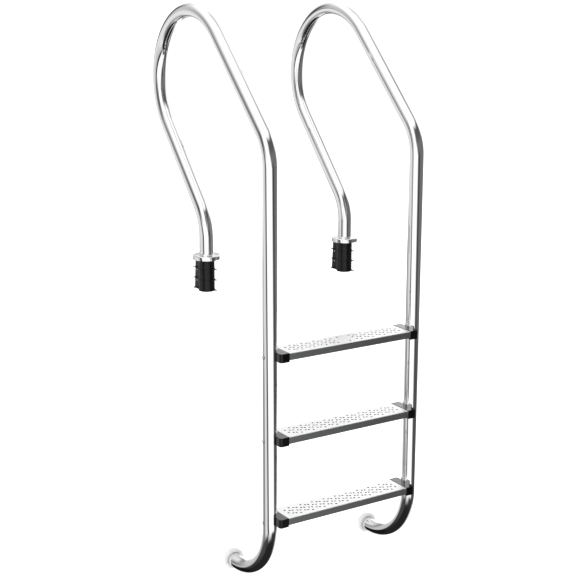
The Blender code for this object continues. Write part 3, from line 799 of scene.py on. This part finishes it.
def tongue():
    """Block that reaches into the tread's end."""
    half_w = HALF_DEPTH - SHEET - 0.5 * MM
    high = -SHEET - 0.4 * MM
    low = -TREAD_HEIGHT + SHEET + 0.4 * MM
    corner_y, corner_z = half_w - TONGUE_CORNER_R, high - TONGUE_CORNER_R
    section = [(half_w, low)] + arc(corner_y, corner_z, TONGUE_CORNER_R, 0, 90, 6)
    section += arc(-corner_y, corner_z, TONGUE_CORNER_R, 90, 180, 6) + [(-half_w, low)]
    return prism(section, CAP_END - 4 * MM, CAP_END + CAP_TONGUE, "X")


def open_slot(x0, x1, half_w, reach):
    """Slot from below the cap up to reach above the bolt's axis."""
    return block(x0, x1, -half_w - GAP, half_w + GAP, -CAP_BOTTOM - 5 * MM, -BOLT_DROP + reach + GAP)


for tread in TREADS:
    for side, sign in SIDES:
        name = "%s_tread_%s_cap" % (tread, side)
        at = (RAIL_X[side], 0, TOP_Z[tread])
        cap = make(name + "_moulding", cap_mesh(), at, inward(sign), material="cap", sharp=32)
        bore = rod(BOLT_HOLE_D / 2, 0, 90 * MM, 24, "X")
        bmesh.ops.translate(bore, verts=bore.verts, vec=(0, 0, -BOLT_DROP))
        washer_slot = open_slot(NUT_FROM_AXIS - 2 * GAP - WASHER_T, NUT_FROM_AXIS,
                                NUT_WASHER_R, NUT_WASHER_R)
        nut_slot = open_slot(NUT_FROM_AXIS - GAP, NUT_FROM_AXIS + NUT_H + GAP,
                             NUT_AF / 2, NUT_AF / math.sqrt(3))
        carve(cap, [(JOIN, tongue(), at), (CUT, bore, at), (CUT, washer_slot, at),
                    (CUT, nut_slot, at)], sharp=32)
        even(cap)
        place(cap, "ladder_frame", name)


# ------------------------------------------------------------------ fasteners
def threaded(mesh, radius, low, high, sides):
    """Rings of a helical thread from low to high, easing in and out of full depth."""
    rings_per_pitch = 6
    steps = int(round((high - low) / PITCH * rings_per_pitch))
    rings = []
    for k in range(steps + 1):
        z = low + (high - low) * k / steps
        ease = min(1.0, (z - low) / PITCH, (high - z) / PITCH)
        ring = []
        for i in range(sides):
            angle = 2 * math.pi * i / sides
            tooth = abs(2 * ((z / PITCH - i / sides) % 1.0) - 1)
            reach = radius - THREAD_DEPTH * ease * tooth
            ring.append(mesh.verts.new((reach * math.cos(angle), reach * math.sin(angle), z)))
        rings.append(ring)
    return rings


def bolt_mesh(shank, thread, head_profile):
    """Axis Z, head above z = 0, shank down to -shank; thread is its threaded length."""
    mesh = bmesh.new()
    sides = 36
    radius = BOLT_D / 2
    tip = mesh.verts.new((0, 0, -shank))
    rings = [circle(mesh, radius - 0.9 * MM, -shank, sides),
             circle(mesh, radius - 0.35 * MM, -shank + 0.6 * MM, sides)]
    rings += threaded(mesh, radius - 0.02 * MM, -shank + 0.8 * MM, -shank + thread, sides)
    rings += [circle(mesh, radius, -shank + thread + 0.3 * MM, sides),
              circle(mesh, radius, 0, sides)]
    rings += [circle(mesh, reach, z, sides) for reach, z in head_profile]
    bridge(mesh, rings)
    for i in range(sides):
        mesh.faces.new((tip, rings[0][(i + 1) % sides], rings[0][i]))
    crown = mesh.verts.new((0, 0, head_profile[-1][1]))
    for i in range(sides):
        mesh.faces.new((rings[-1][i], rings[-1][(i + 1) % sides], crown))
    return mesh


def hexagon(across_flats, low, high):
    return prism(arc(0, 0, across_flats / math.sqrt(3), 0, 300, 5), low, high)


def nut_mesh():
    """Axis X from 0 to the nut's height, corners up and down, its ends chamfered."""
    mesh = bmesh.new()
    sides = 72
    flat = NUT_AF / 2
    ease = 0.5 * MM
    angles = [2 * math.pi * i / sides for i in range(sides)]
    reaches = [flat / math.cos(angle % math.radians(60) - math.radians(30)) for angle in angles]

    def ring(x, radii):
        return [mesh.verts.new((x, radius * math.sin(angle), radius * math.cos(angle)))
                for radius, angle in zip(radii, angles)]
    levels = [0.0, 0.25 * MM, 0.5 * MM, 0.75 * MM, 1.0 * MM]
    rings = []
    for x in levels + [NUT_H - level for level in reversed(levels)]:
        limit = flat * 0.97 + min(x, NUT_H - x) / math.tan(math.radians(30))
        rings.append(ring(x, [min(reach, limit) for reach in reaches]))
    for radius, x in ((BOLT_FIT_R + ease, NUT_H), (BOLT_FIT_R, NUT_H - ease),
                      (BOLT_FIT_R, ease), (BOLT_FIT_R + ease, 0.0)):
        rings.append(ring(x, [radius] * sides))
    rings.append(rings[0])
    bridge(mesh, rings)
    return mesh


def washer_mesh(radius, axis):
    edge = 0.2 * MM
    return lathe([(BOLT_FIT_R, 0), (radius - edge, 0), (radius, edge), (radius, WASHER_T - edge),
                  (radius - edge, WASHER_T), (BOLT_FIT_R, WASHER_T)], 48, axis)


def dome_bolt(name, sign, z):
    """Bolt through the rail, its low domed head on the tube's outer side."""
    profile = [(DOME_R - 0.15 * MM, 0), (DOME_R, 0.15 * MM), (DOME_R, DOME_RIM)]
    for degrees in (15, 30, 45, 60, 75, 90):
        angle = math.radians(degrees)
        profile.append((DOME_FLAT_R + (DOME_R - DOME_FLAT_R) * math.cos(angle),
                        DOME_RIM + (DOME_H - DOME_RIM) * math.sin(angle)))
    head_x = RAIL_SPACING / 2 + TUBE_OD / 2 + GAP
    length = head_x - (RAIL_SPACING / 2 - BOLT_REACH)
    mesh = bolt_mesh(length, BOLT_THREAD, profile)
    key = hexagon(DOME_KEY_AF, DOME_H - DOME_KEY_DEPTH, DOME_H + 2 * MM)
    for part in (mesh, key):
        turn_about_y(part, -90)
    at = (sign * head_x, 0, z)
    bolt = make(name, mesh, at, inward(sign), material="fastener", sharp=32)
    carve(bolt, [(CUT, key, at)], sharp=32)
    return bolt


for tread in TREADS:
    for side, sign in SIDES:
        turn = inward(sign)
        z = TOP_Z[tread] - BOLT_DROP
        base = "%s_tread_%s_" % (tread, side)
        washer_x = RAIL_X[side] - sign * (NUT_FROM_AXIS - GAP - WASHER_T)
        washer = make(base + "washer_ring", washer_mesh(NUT_WASHER_R, "X"), (washer_x, 0, z), turn,
                      material="fastener")
        place(washer, "ladder_frame", base + "washer")
        nut = make(base + "hex_nut", nut_mesh(), (RAIL_X[side] - sign * NUT_FROM_AXIS, 0, z), turn,
                   material="fastener", sharp=20)
        place(nut, "ladder_frame", base + "nut")
        bolt = dome_bolt(base + "dome_bolt", sign, z)
        place(bolt, "ladder_frame", base + "bolt")


# ------------------------------------------------------------------ wall bumpers
def bumper_mesh():
    """Domed cup over the rail's lower end, its mouth at z = 0."""
    bore = TUBE_OD / 2 + 0.5 * MM
    floor = J_TAIL + GAP
    base = BUMPER_ROUNDING
    profile = [(0, floor), (bore - 1 * MM, floor), (bore, floor - 1 * MM), (bore, 1.0 * MM),
               (bore + 0.3 * MM, 0.3 * MM), (bore + 1.0 * MM, 0)]
    profile += arc(BUMPER_R - base, base, base, -90, -15, 5)
    for i in range(BUMPER_STEPS):
        angle = math.radians(90) * i / BUMPER_STEPS
        profile.append((BUMPER_R * math.cos(angle),
                        base + (BUMPER_LENGTH - base) * math.sin(angle)))
    profile.append((0, BUMPER_LENGTH))
    return lathe(profile, 72)


tail = Vector((0, math.sin(J_TURN), -math.cos(J_TURN)))
tilt = Matrix.Rotation(-math.atan2(tail.y, tail.z), 3, "X").to_quaternion()
for side, _ in SIDES:
    y, z, _ = PATH[1]
    bumper = make(side + "_bumper_cap", bumper_mesh(), (RAIL_X[side], y, z), tilt,
                  material="bumper", sharp=50)
    place(bumper, "ladder_frame", side + "_wall_bumper")


# ------------------------------------------------------------------ escutcheons
def escutcheon_mesh():
    """Thin round cover with an upturned neck round the tube."""
    hole = TUBE_OD / 2 + 0.6 * MM
    edge = 0.25 * MM
    corner_r, corner_z = ESC_R - ESC_ROUNDING, ESC_H - ESC_ROUNDING
    profile = [(ESC_R - ESC_SHEET, 0), (ESC_R - edge, 0), (ESC_R, edge)]
    profile += arc(corner_r, corner_z, ESC_ROUNDING, 0, 90, 12)
    profile += arc(hole + ESC_SHEET + ESC_NECK_R, ESC_H + ESC_NECK_R, ESC_NECK_R, 270, 180, 8)
    profile += arc(hole + ESC_SHEET * 0.5, ESC_H + 1.8 * MM, ESC_SHEET * 0.5, 0, 180, 8)
    profile += [(hole, ESC_H - ESC_SHEET)]
    profile += arc(corner_r, corner_z, ESC_ROUNDING - ESC_SHEET, 90, 0, 10)
    return lathe(profile, 96)


for side, _ in SIDES:
    cover = make(side + "_cover_plate", escutcheon_mesh(), (RAIL_X[side], ANCHOR_Y, DECK_Z),
                 material="escutcheon", sharp=40)
    place(cover, side + "_escutcheon_body", side + "_escutcheon")


# ------------------------------------------------------------------ deck anchors
def housing_back(z):
    """Y of the housing's sloped +Y face."""
    return HOUSING_TOP_Y - z * math.tan(WEDGE_ANGLE)


def fin_outline(z):
    radius = ANCHOR_R + FIN_PROUD
    half_w = HOUSING_HALF_W + FIN_PROUD
    join = math.degrees(math.acos(half_w / radius))
    # +X side of the housing: out to a blunt wing and back
    wing = [(half_w, 27 * MM), (25.0 * MM, 41.0 * MM), (24.8 * MM, 42.4 * MM),
            (24.0 * MM, 43.0 * MM), (half_w, 43.5 * MM), (half_w, housing_back(z) + FIN_PROUD)]
    outline = arc(0, 0, radius, -36, join, 16)
    outline += wing + [(-x, y) for x, y in reversed(wing)]
    outline += arc(0, 0, radius, 180 - join, 276, 26)
    # blunt point toward +X and -Y
    outline += [(16.2 * MM, -33.2 * MM), (17.4 * MM, -33.2 * MM), (18.2 * MM, -32.0 * MM)]
    return outline


def housing_mesh():
    low, high = -ANCHOR_H + 0.4 * MM, ANCHOR_TOP - 0.2 * MM
    mesh = prism([(6 * MM, low), (housing_back(low), low), (housing_back(high), high),
                  (6 * MM, high)], -HOUSING_HALF_W, HOUSING_HALF_W, "X")
    corners = [edge for edge in mesh.edges if all(v.co.y > 30 * MM for v in edge.verts)
               and abs(edge.verts[0].co.z - edge.verts[1].co.z) > 50 * MM]
    bmesh.ops.bevel(mesh, geom=corners, offset=3.0 * MM, segments=8, profile=0.5, affect="EDGES")
    return mesh


def groove(z):
    """Shallow groove round the socket, up from z."""
    inner, outer = ANCHOR_R - GROOVE_DEPTH, ANCHOR_R + 2 * MM
    return lathe([(inner, z), (outer, z), (outer, z + GROOVE_H), (inner, z + GROOVE_H)], 80)


def tube_bore():
    floor = -TUBE_END_DEPTH - GAP
    edge = 0.6 * MM
    return lathe([(0, floor), (ANCHOR_BORE_R, floor), (ANCHOR_BORE_R, ANCHOR_TOP - edge),
                  (ANCHOR_BORE_R + edge, ANCHOR_TOP), (ANCHOR_BORE_R + edge, 5 * MM),
                  (0, 5 * MM)], 80)


def wedge_pocket():
    section = [(POCKET_START_Y, POCKET_LOW), (housing_back(POCKET_LOW) - HOUSING_WALL, POCKET_LOW),
               (housing_back(POCKET_HIGH) - HOUSING_WALL, POCKET_HIGH),
               (POCKET_START_Y, POCKET_HIGH)]
    half_w = HOUSING_HALF_W - HOUSING_WALL
    return prism(section, -half_w, half_w, "X")


def plug_place(at, fin):
    return (at[0] - HOUSING_HALF_W, at[1] + PLUG_Y, at[2] + fin - PLUG_DROP)


def anchor_socket(name, at):
    edge = ANCHOR_EDGE
    body = lathe([(0, -ANCHOR_H), (ANCHOR_R - edge, -ANCHOR_H),
                  (ANCHOR_R - 0.3 * edge, -ANCHOR_H + 0.3 * edge), (ANCHOR_R, -ANCHOR_H + edge),
                  (ANCHOR_R, ANCHOR_TOP - 0.3 * MM), (ANCHOR_R - 0.3 * MM, ANCHOR_TOP),
                  (0, ANCHOR_TOP)], 80)
    socket = make(name + "_body_moulding", body, at, material="anchor", sharp=30)
    steps = [(JOIN, housing_mesh(), at)]
    steps += [(JOIN, prism(fin_outline(z), z, z + FIN_THICK), at) for z in FIN_LEVELS]
    steps += [(CUT, groove(z + FIN_THICK), at) for z in FIN_LEVELS[:2]]
    steps.append((CUT, tube_bore(), at))
    steps.append((CUT, rod(FOOT_HOLE_R, -ANCHOR_H - 5 * MM, -80 * MM, 64), at))
    steps.append((CUT, wedge_pocket(), at))
    steps.append((CUT, rod(BOLT_HOLE_D / 2, -20 * MM, 5 * MM, 32),
                  (at[0], at[1] + WEDGE_BOLT_Y, at[2])))
    steps += [(CUT, rod(PLUG_HOLE_R, -3 * MM, 1.5 * MM, 28, "X"), plug_place(at, fin))
              for _, fin in PLUG_LEVELS]
    carve(socket, steps, sharp=28)
    place(socket, "deck_anchors", name + "_socket")


def plug_mesh():
    """Low-domed disc, its dome toward -X."""
    profile = [(0, -0.5 * MM)]
    for degrees in (15, 30, 45, 60, 75, 90):
        angle = math.radians(degrees)
        profile.append((PLUG_R * math.sin(angle), -0.5 * MM + 0.45 * MM * (1 - math.cos(angle))))
    profile += [(PLUG_R, 1.1 * MM), (PLUG_R - 0.1 * MM, 1.2 * MM), (0, 1.2 * MM)]
    return lathe(profile, 32, "X")


def wedge_mesh():
    """Concave toward the tube, sloped on its +Y face."""
    mesh = bmesh.new()
    half_w = HOUSING_HALF_W - HOUSING_WALL - 0.4 * MM
    half_angle = math.degrees(math.asin(half_w / WEDGE_FACE_R))
    hollow = arc(0, 0, WEDGE_FACE_R, 90 - half_angle, 90 + half_angle, 16)
    rings = []
    for z in (WEDGE_LOW, WEDGE_LOW + WEDGE_H):
        slope_y = housing_back(z) - HOUSING_WALL - GAP / math.cos(WEDGE_ANGLE)
        outline = hollow + [(-half_w, slope_y), (half_w, slope_y)]
        rings.append([mesh.verts.new((x, y, z)) for x, y in outline])
    low, high = rings
    mesh.faces.new(low)
    mesh.faces.new(high[::-1])
    for i in range(len(low)):
        j = (i + 1) % len(low)
        mesh.faces.new((low[j], low[i], high[i], high[j]))
    return mesh


def anchor_wedge(side, name, at):
    wedge = make(name + "_wedge_casting", wedge_mesh(), at, material="wedge", sharp=30)
    slot = arc(0, WEDGE_SLOT, BOLT_FIT_R, 0, 180, 16) + arc(0, 0, BOLT_FIT_R, 180, 360, 16)
    carve(wedge, [(CUT, prism(slot, WEDGE_LOW - 5 * MM, WEDGE_LOW + WEDGE_H + 5 * MM),
                   (at[0], at[1] + WEDGE_BOLT_Y, at[2]))])
    soften(wedge, width=0.4 * MM, segments=2, angle=40, sharp=50)
    place(wedge, side + "_wedge_body", name + "_wedge")


def wedge_fastening(side, name, at):
    """Washer on the housing's top and the socket-headed bolt through it."""
    washer_z = ANCHOR_TOP + GAP
    washer = make(name + "_bolt_washer_ring", washer_mesh(WEDGE_WASHER_R, "Z"),
                  (at[0], at[1] + WEDGE_BOLT_Y, at[2] + washer_z), material="fastener")
    place(washer, "deck_anchors", name + "_bolt_washer")
    head_z = washer_z + WASHER_T + GAP
    profile = [(6.35 * MM, 0), (6.5 * MM, 0.15 * MM), (6.5 * MM, 5.3 * MM), (6.3 * MM, 5.75 * MM),
               (5.9 * MM, 6.0 * MM)]
    bolt_at = (at[0], at[1] + WEDGE_BOLT_Y, at[2] + head_z)
    bolt = make(name + "_wedge_screw",
                bolt_mesh(WEDGE_BOLT_DEPTH + head_z, WEDGE_BOLT_THREAD, profile),
                bolt_at, material="fastener", sharp=32)
    carve(bolt, [(CUT, hexagon(6.0 * MM, 2.8 * MM, 9 * MM), bolt_at)], sharp=32)
    place(bolt, side + "_wedge_bolt_body", name + "_wedge_bolt")


for side, _ in SIDES:
    at = (RAIL_X[side], ANCHOR_Y, DECK_Z)
    name = side + "_anchor"
    anchor_socket(name, at)
    for level, fin in PLUG_LEVELS:
        plug = make("%s_%s_plug_disc" % (name, level), plug_mesh(), plug_place(at, fin),
                    material="plug")
        place(plug, "deck_anchors", "%s_%s_plug" % (name, level))
    anchor_wedge(side, name, at)
    wedge_fastening(side, name, at)


# ------------------------------------------------------------------ floor, light and camera
WALL_R = 2.0
WALL_Y = 0.15
WALL_LOW, WALL_HIGH = -7.0, 9.0
EYE_Z = 0.1                                  # height that the panels' elevations are seen from
SOFT = 1.1                                   # the world's light on surfaces
WHITE = 1.25                                 # the bare wall's brightness
FLOOR_HALF = 150
# Soft-edged panels on the wall, each laid over the ones before: brightness, compass angle of the
# middle (0 along +Y, 90 along +X), half width, edge softness, and lower and upper ends, in degrees.
PANELS = [
    # mostly toward -X: light grey, with brighter and darker patches
    dict(value=0.64, az=-38, half=59, az_soft=18, el_hi=18, hi_soft=12),
    dict(value=0.64, az=-72, half=52, az_soft=18, el_lo=14, el_hi=46, lo_soft=12, hi_soft=18),
    dict(value=0.90, az=-36, half=30, az_soft=22, el_lo=-5, el_hi=20, hi_soft=12),
    dict(value=0.95, az=-61, half=10, az_soft=24, el_hi=-2, hi_soft=10),
    dict(value=0.36, az=5, half=21, az_soft=16, el_lo=-18, el_hi=-6, lo_soft=8, hi_soft=8),
    dict(value=0.27, az=-28, half=18, az_soft=22, el_hi=-18, hi_soft=10),
    dict(value=0.28, az=-92, half=26, az_soft=22, el_lo=20, el_hi=34, lo_soft=12, hi_soft=12),
    dict(value=0.12, az=-112, half=12, az_soft=20, el_lo=22, el_hi=35, lo_soft=10, hi_soft=10),
    dict(value=0.015, az=-94, half=8, az_soft=12, el_hi=24, hi_soft=12),
    dict(value=0.07, az=-40, half=8, az_soft=12, el_lo=19, el_hi=38, lo_soft=8, hi_soft=12),
    # toward +X: a broad dark panel with darker patches, and lighter ones high up
    dict(value=0.18, az=128, half=54, az_soft=20, el_hi=53, hi_soft=12),
    dict(value=0.11, az=122, half=44, az_soft=18, el_lo=32, el_hi=49, lo_soft=14, hi_soft=8),
    dict(value=0.07, az=163, half=13, az_soft=14, el_hi=12, hi_soft=14),
    dict(value=0.085, az=148, half=28, az_soft=16, el_hi=-16, hi_soft=12),
    dict(value=0.35, az=64, half=14, az_soft=18, el_lo=40, el_hi=60, hi_soft=10),
    dict(value=0.72, az=34, half=34, az_soft=24, el_lo=56, el_hi=74, lo_soft=10, hi_soft=12),
]
# the same for the ground, steeply below
GROUND = [
    dict(value=0.95, az=-152, half=22, az_soft=26, el_lo=-47, lo_soft=12),
    dict(value=0.07, az=-85, half=26, az_soft=20, el_lo=-57, lo_soft=12),
    dict(value=0.008, az=-11, half=27, az_soft=12, el_lo=-64, lo_soft=12),
    dict(value=0.75, az=56, half=42, az_soft=12, el_lo=-54, lo_soft=14),
]


class Wires:
    """Number nodes for the studio's shaders."""

    def __init__(self, tree):
        self.tree = tree
        tree.nodes.clear()

    def node(self, kind):
        return self.tree.nodes.new(kind)

    def math(self, operation, *values):
        node = self.node("ShaderNodeMath")
        node.operation = operation
        for k, value in enumerate(values):
            if isinstance(value, (int, float)):
                node.inputs[k].default_value = value
            else:
                self.tree.links.new(value, node.inputs[k])
        return node.outputs[0]

    def ramp(self, value, low, high):
        """0 at low, 1 at high, smooth between; low may be above high."""
        node = self.node("ShaderNodeMapRange")
        node.interpolation_type = "SMOOTHSTEP"
        node.inputs["From Min"].default_value = low
        node.inputs["From Max"].default_value = high
        self.tree.links.new(value, node.inputs["Value"])
        return node.outputs["Result"]

    def panel(self, base, angle, height, value, az, half, az_soft,
              el_lo=None, el_hi=None, lo_soft=8.0, hi_soft=8.0):
        """Lay one panel over the base brightness."""
        offset = self.math("WRAP", self.math("SUBTRACT", angle, az), 180.0, -180.0)
        offset = self.math("ABSOLUTE", offset)
        mask = self.ramp(offset, half + az_soft / 2, half - az_soft / 2)
        if el_lo is not None:
            edge = self.ramp(height, el_lo - lo_soft / 2, el_lo + lo_soft / 2)
            mask = self.math("MULTIPLY", mask, edge)
        if el_hi is not None:
            edge = self.ramp(height, el_hi + hi_soft / 2, el_hi - hi_soft / 2)
            mask = self.math("MULTIPLY", mask, edge)
        return self.math("MULTIPLY_ADD", mask, self.math("SUBTRACT", value, base), base)

    def glow(self, value, kind, output):
        emitter = self.node(kind)
        colour = self.node("ShaderNodeCombineColor")
        for k in range(3):
            self.tree.links.new(value, colour.inputs[k])
        self.tree.links.new(colour.outputs[0], emitter.inputs["Color"])
        self.tree.links.new(emitter.outputs[0], self.node(output).inputs["Surface"])


def studio_world():
    """White to the camera and even soft light on matt surfaces."""
    world = bpy.data.worlds.new("studio")
    bpy.context.scene.world = world
    world.use_nodes = True
    wires = Wires(world.node_tree)
    path = wires.node("ShaderNodeLightPath")
    wires.glow(wires.math("MULTIPLY_ADD", path.outputs["Is Camera Ray"], 1.0 - SOFT, SOFT),
               "ShaderNodeBackground", "ShaderNodeOutputWorld")


def wall_material():
    mat = bpy.data.materials.new("studio_wall")
    mat.use_nodes = True
    wires = Wires(mat.node_tree)
    calc = wires.math
    split = wires.node("ShaderNodeSeparateXYZ")
    position = wires.node("ShaderNodeNewGeometry").outputs["Position"]
    wires.tree.links.new(position, split.inputs[0])
    x, y, z = split.outputs
    y = calc("SUBTRACT", y, WALL_Y)
    degrees = 180.0 / math.pi
    azimuth = calc("MULTIPLY", calc("ARCTAN2", x, y), degrees)
    away = calc("SQRT", calc("ADD", calc("MULTIPLY", x, x), calc("MULTIPLY", y, y)))
    height = calc("MULTIPLY", calc("ARCTAN2", calc("SUBTRACT", z, EYE_Z), away), degrees)
    # the wall's panels lean: lower down, they lie at smaller compass angles
    lean = calc("MULTIPLY_ADD", height, -0.94, -1.9)
    lean = calc("MINIMUM", calc("MAXIMUM", lean, -30.0), 45.0)
    turned = calc("ADD", azimuth, lean)

    light = calc("ADD", WHITE, 0.0)
    for panel in PANELS:
        light = wires.panel(light, turned, height, **panel)
    ground = calc("MULTIPLY_ADD", wires.ramp(height, -60.0, -42.0), 0.03, 0.02)
    for panel in GROUND:
        ground = wires.panel(ground, azimuth, height, **panel)
    light = calc("MULTIPLY_ADD", wires.ramp(height, -38.0, -44.0),
                 calc("SUBTRACT", ground, light), light)
    wires.glow(light, "ShaderNodeEmission", "ShaderNodeOutputMaterial")
    return mat


def studio_wall():
    """A round wall of soft white, grey and dark panels that only reflections see."""
    mat = wall_material()
    wall = make("studio_wall", rod(WALL_R, WALL_LOW, WALL_HIGH, 128), (0, WALL_Y, 0))
    wall.data.materials.append(mat)
    wall.visible_camera = False
    wall.visible_diffuse = False
    wall.visible_transmission = False
    wall.visible_volume_scatter = False
    wall.visible_shadow = False


def studio_floor():
    """Pale matt floor that reflections don't see."""
    top = CAD_BOX[0].z - 0.5 * MM
    mesh = block(-FLOOR_HALF, FLOOR_HALF, -FLOOR_HALF, FLOOR_HALF, top - 0.02, top)
    data = bpy.data.meshes.new("floor")
    mesh.to_mesh(data)
    mesh.free()
    floor = bpy.data.objects.new("floor", data)
    bpy.context.scene.collection.objects.link(floor)
    mat = bpy.data.materials.new("floor_pale")
    mat.use_nodes = True
    inputs = mat.node_tree.nodes["Principled BSDF"].inputs
    inputs["Base Color"].default_value = (0.9, 0.9, 0.9, 1)
    inputs["Roughness"].default_value = 1.0
    inputs["Specular IOR Level"].default_value = 0.0
    inputs["Emission Color"].default_value = (1, 1, 1, 1)
    inputs["Emission Strength"].default_value = 0.62
    data.materials.append(mat)
    floor.visible_glossy = False


def studio_camera():
    lens = bpy.data.cameras.new("view")
    camera = bpy.data.objects.new("view", lens)
    bpy.context.scene.collection.objects.link(camera)
    lens.sensor_width = 36.0
    lens.lens = 81.42
    lens.shift_x = 0.0021
    lens.shift_y = 0.0034
    lens.clip_start, lens.clip_end = 0.05, 600.0
    camera.location = (-2.1260, -2.9866, 1.0421)
    look = Vector((0.5265, 0.8163, -0.2372)).normalized()
    roll = Matrix.Rotation(math.radians(0.21), 3, "Z").to_quaternion()
    camera.rotation_mode = "QUATERNION"
    camera.rotation_quaternion = look.to_track_quat("-Z", "Y") @ roll
    bpy.context.scene.camera = camera
    bpy.context.scene.view_settings.view_transform = "Standard"


studio_floor()
studio_world()
studio_wall()
studio_camera()
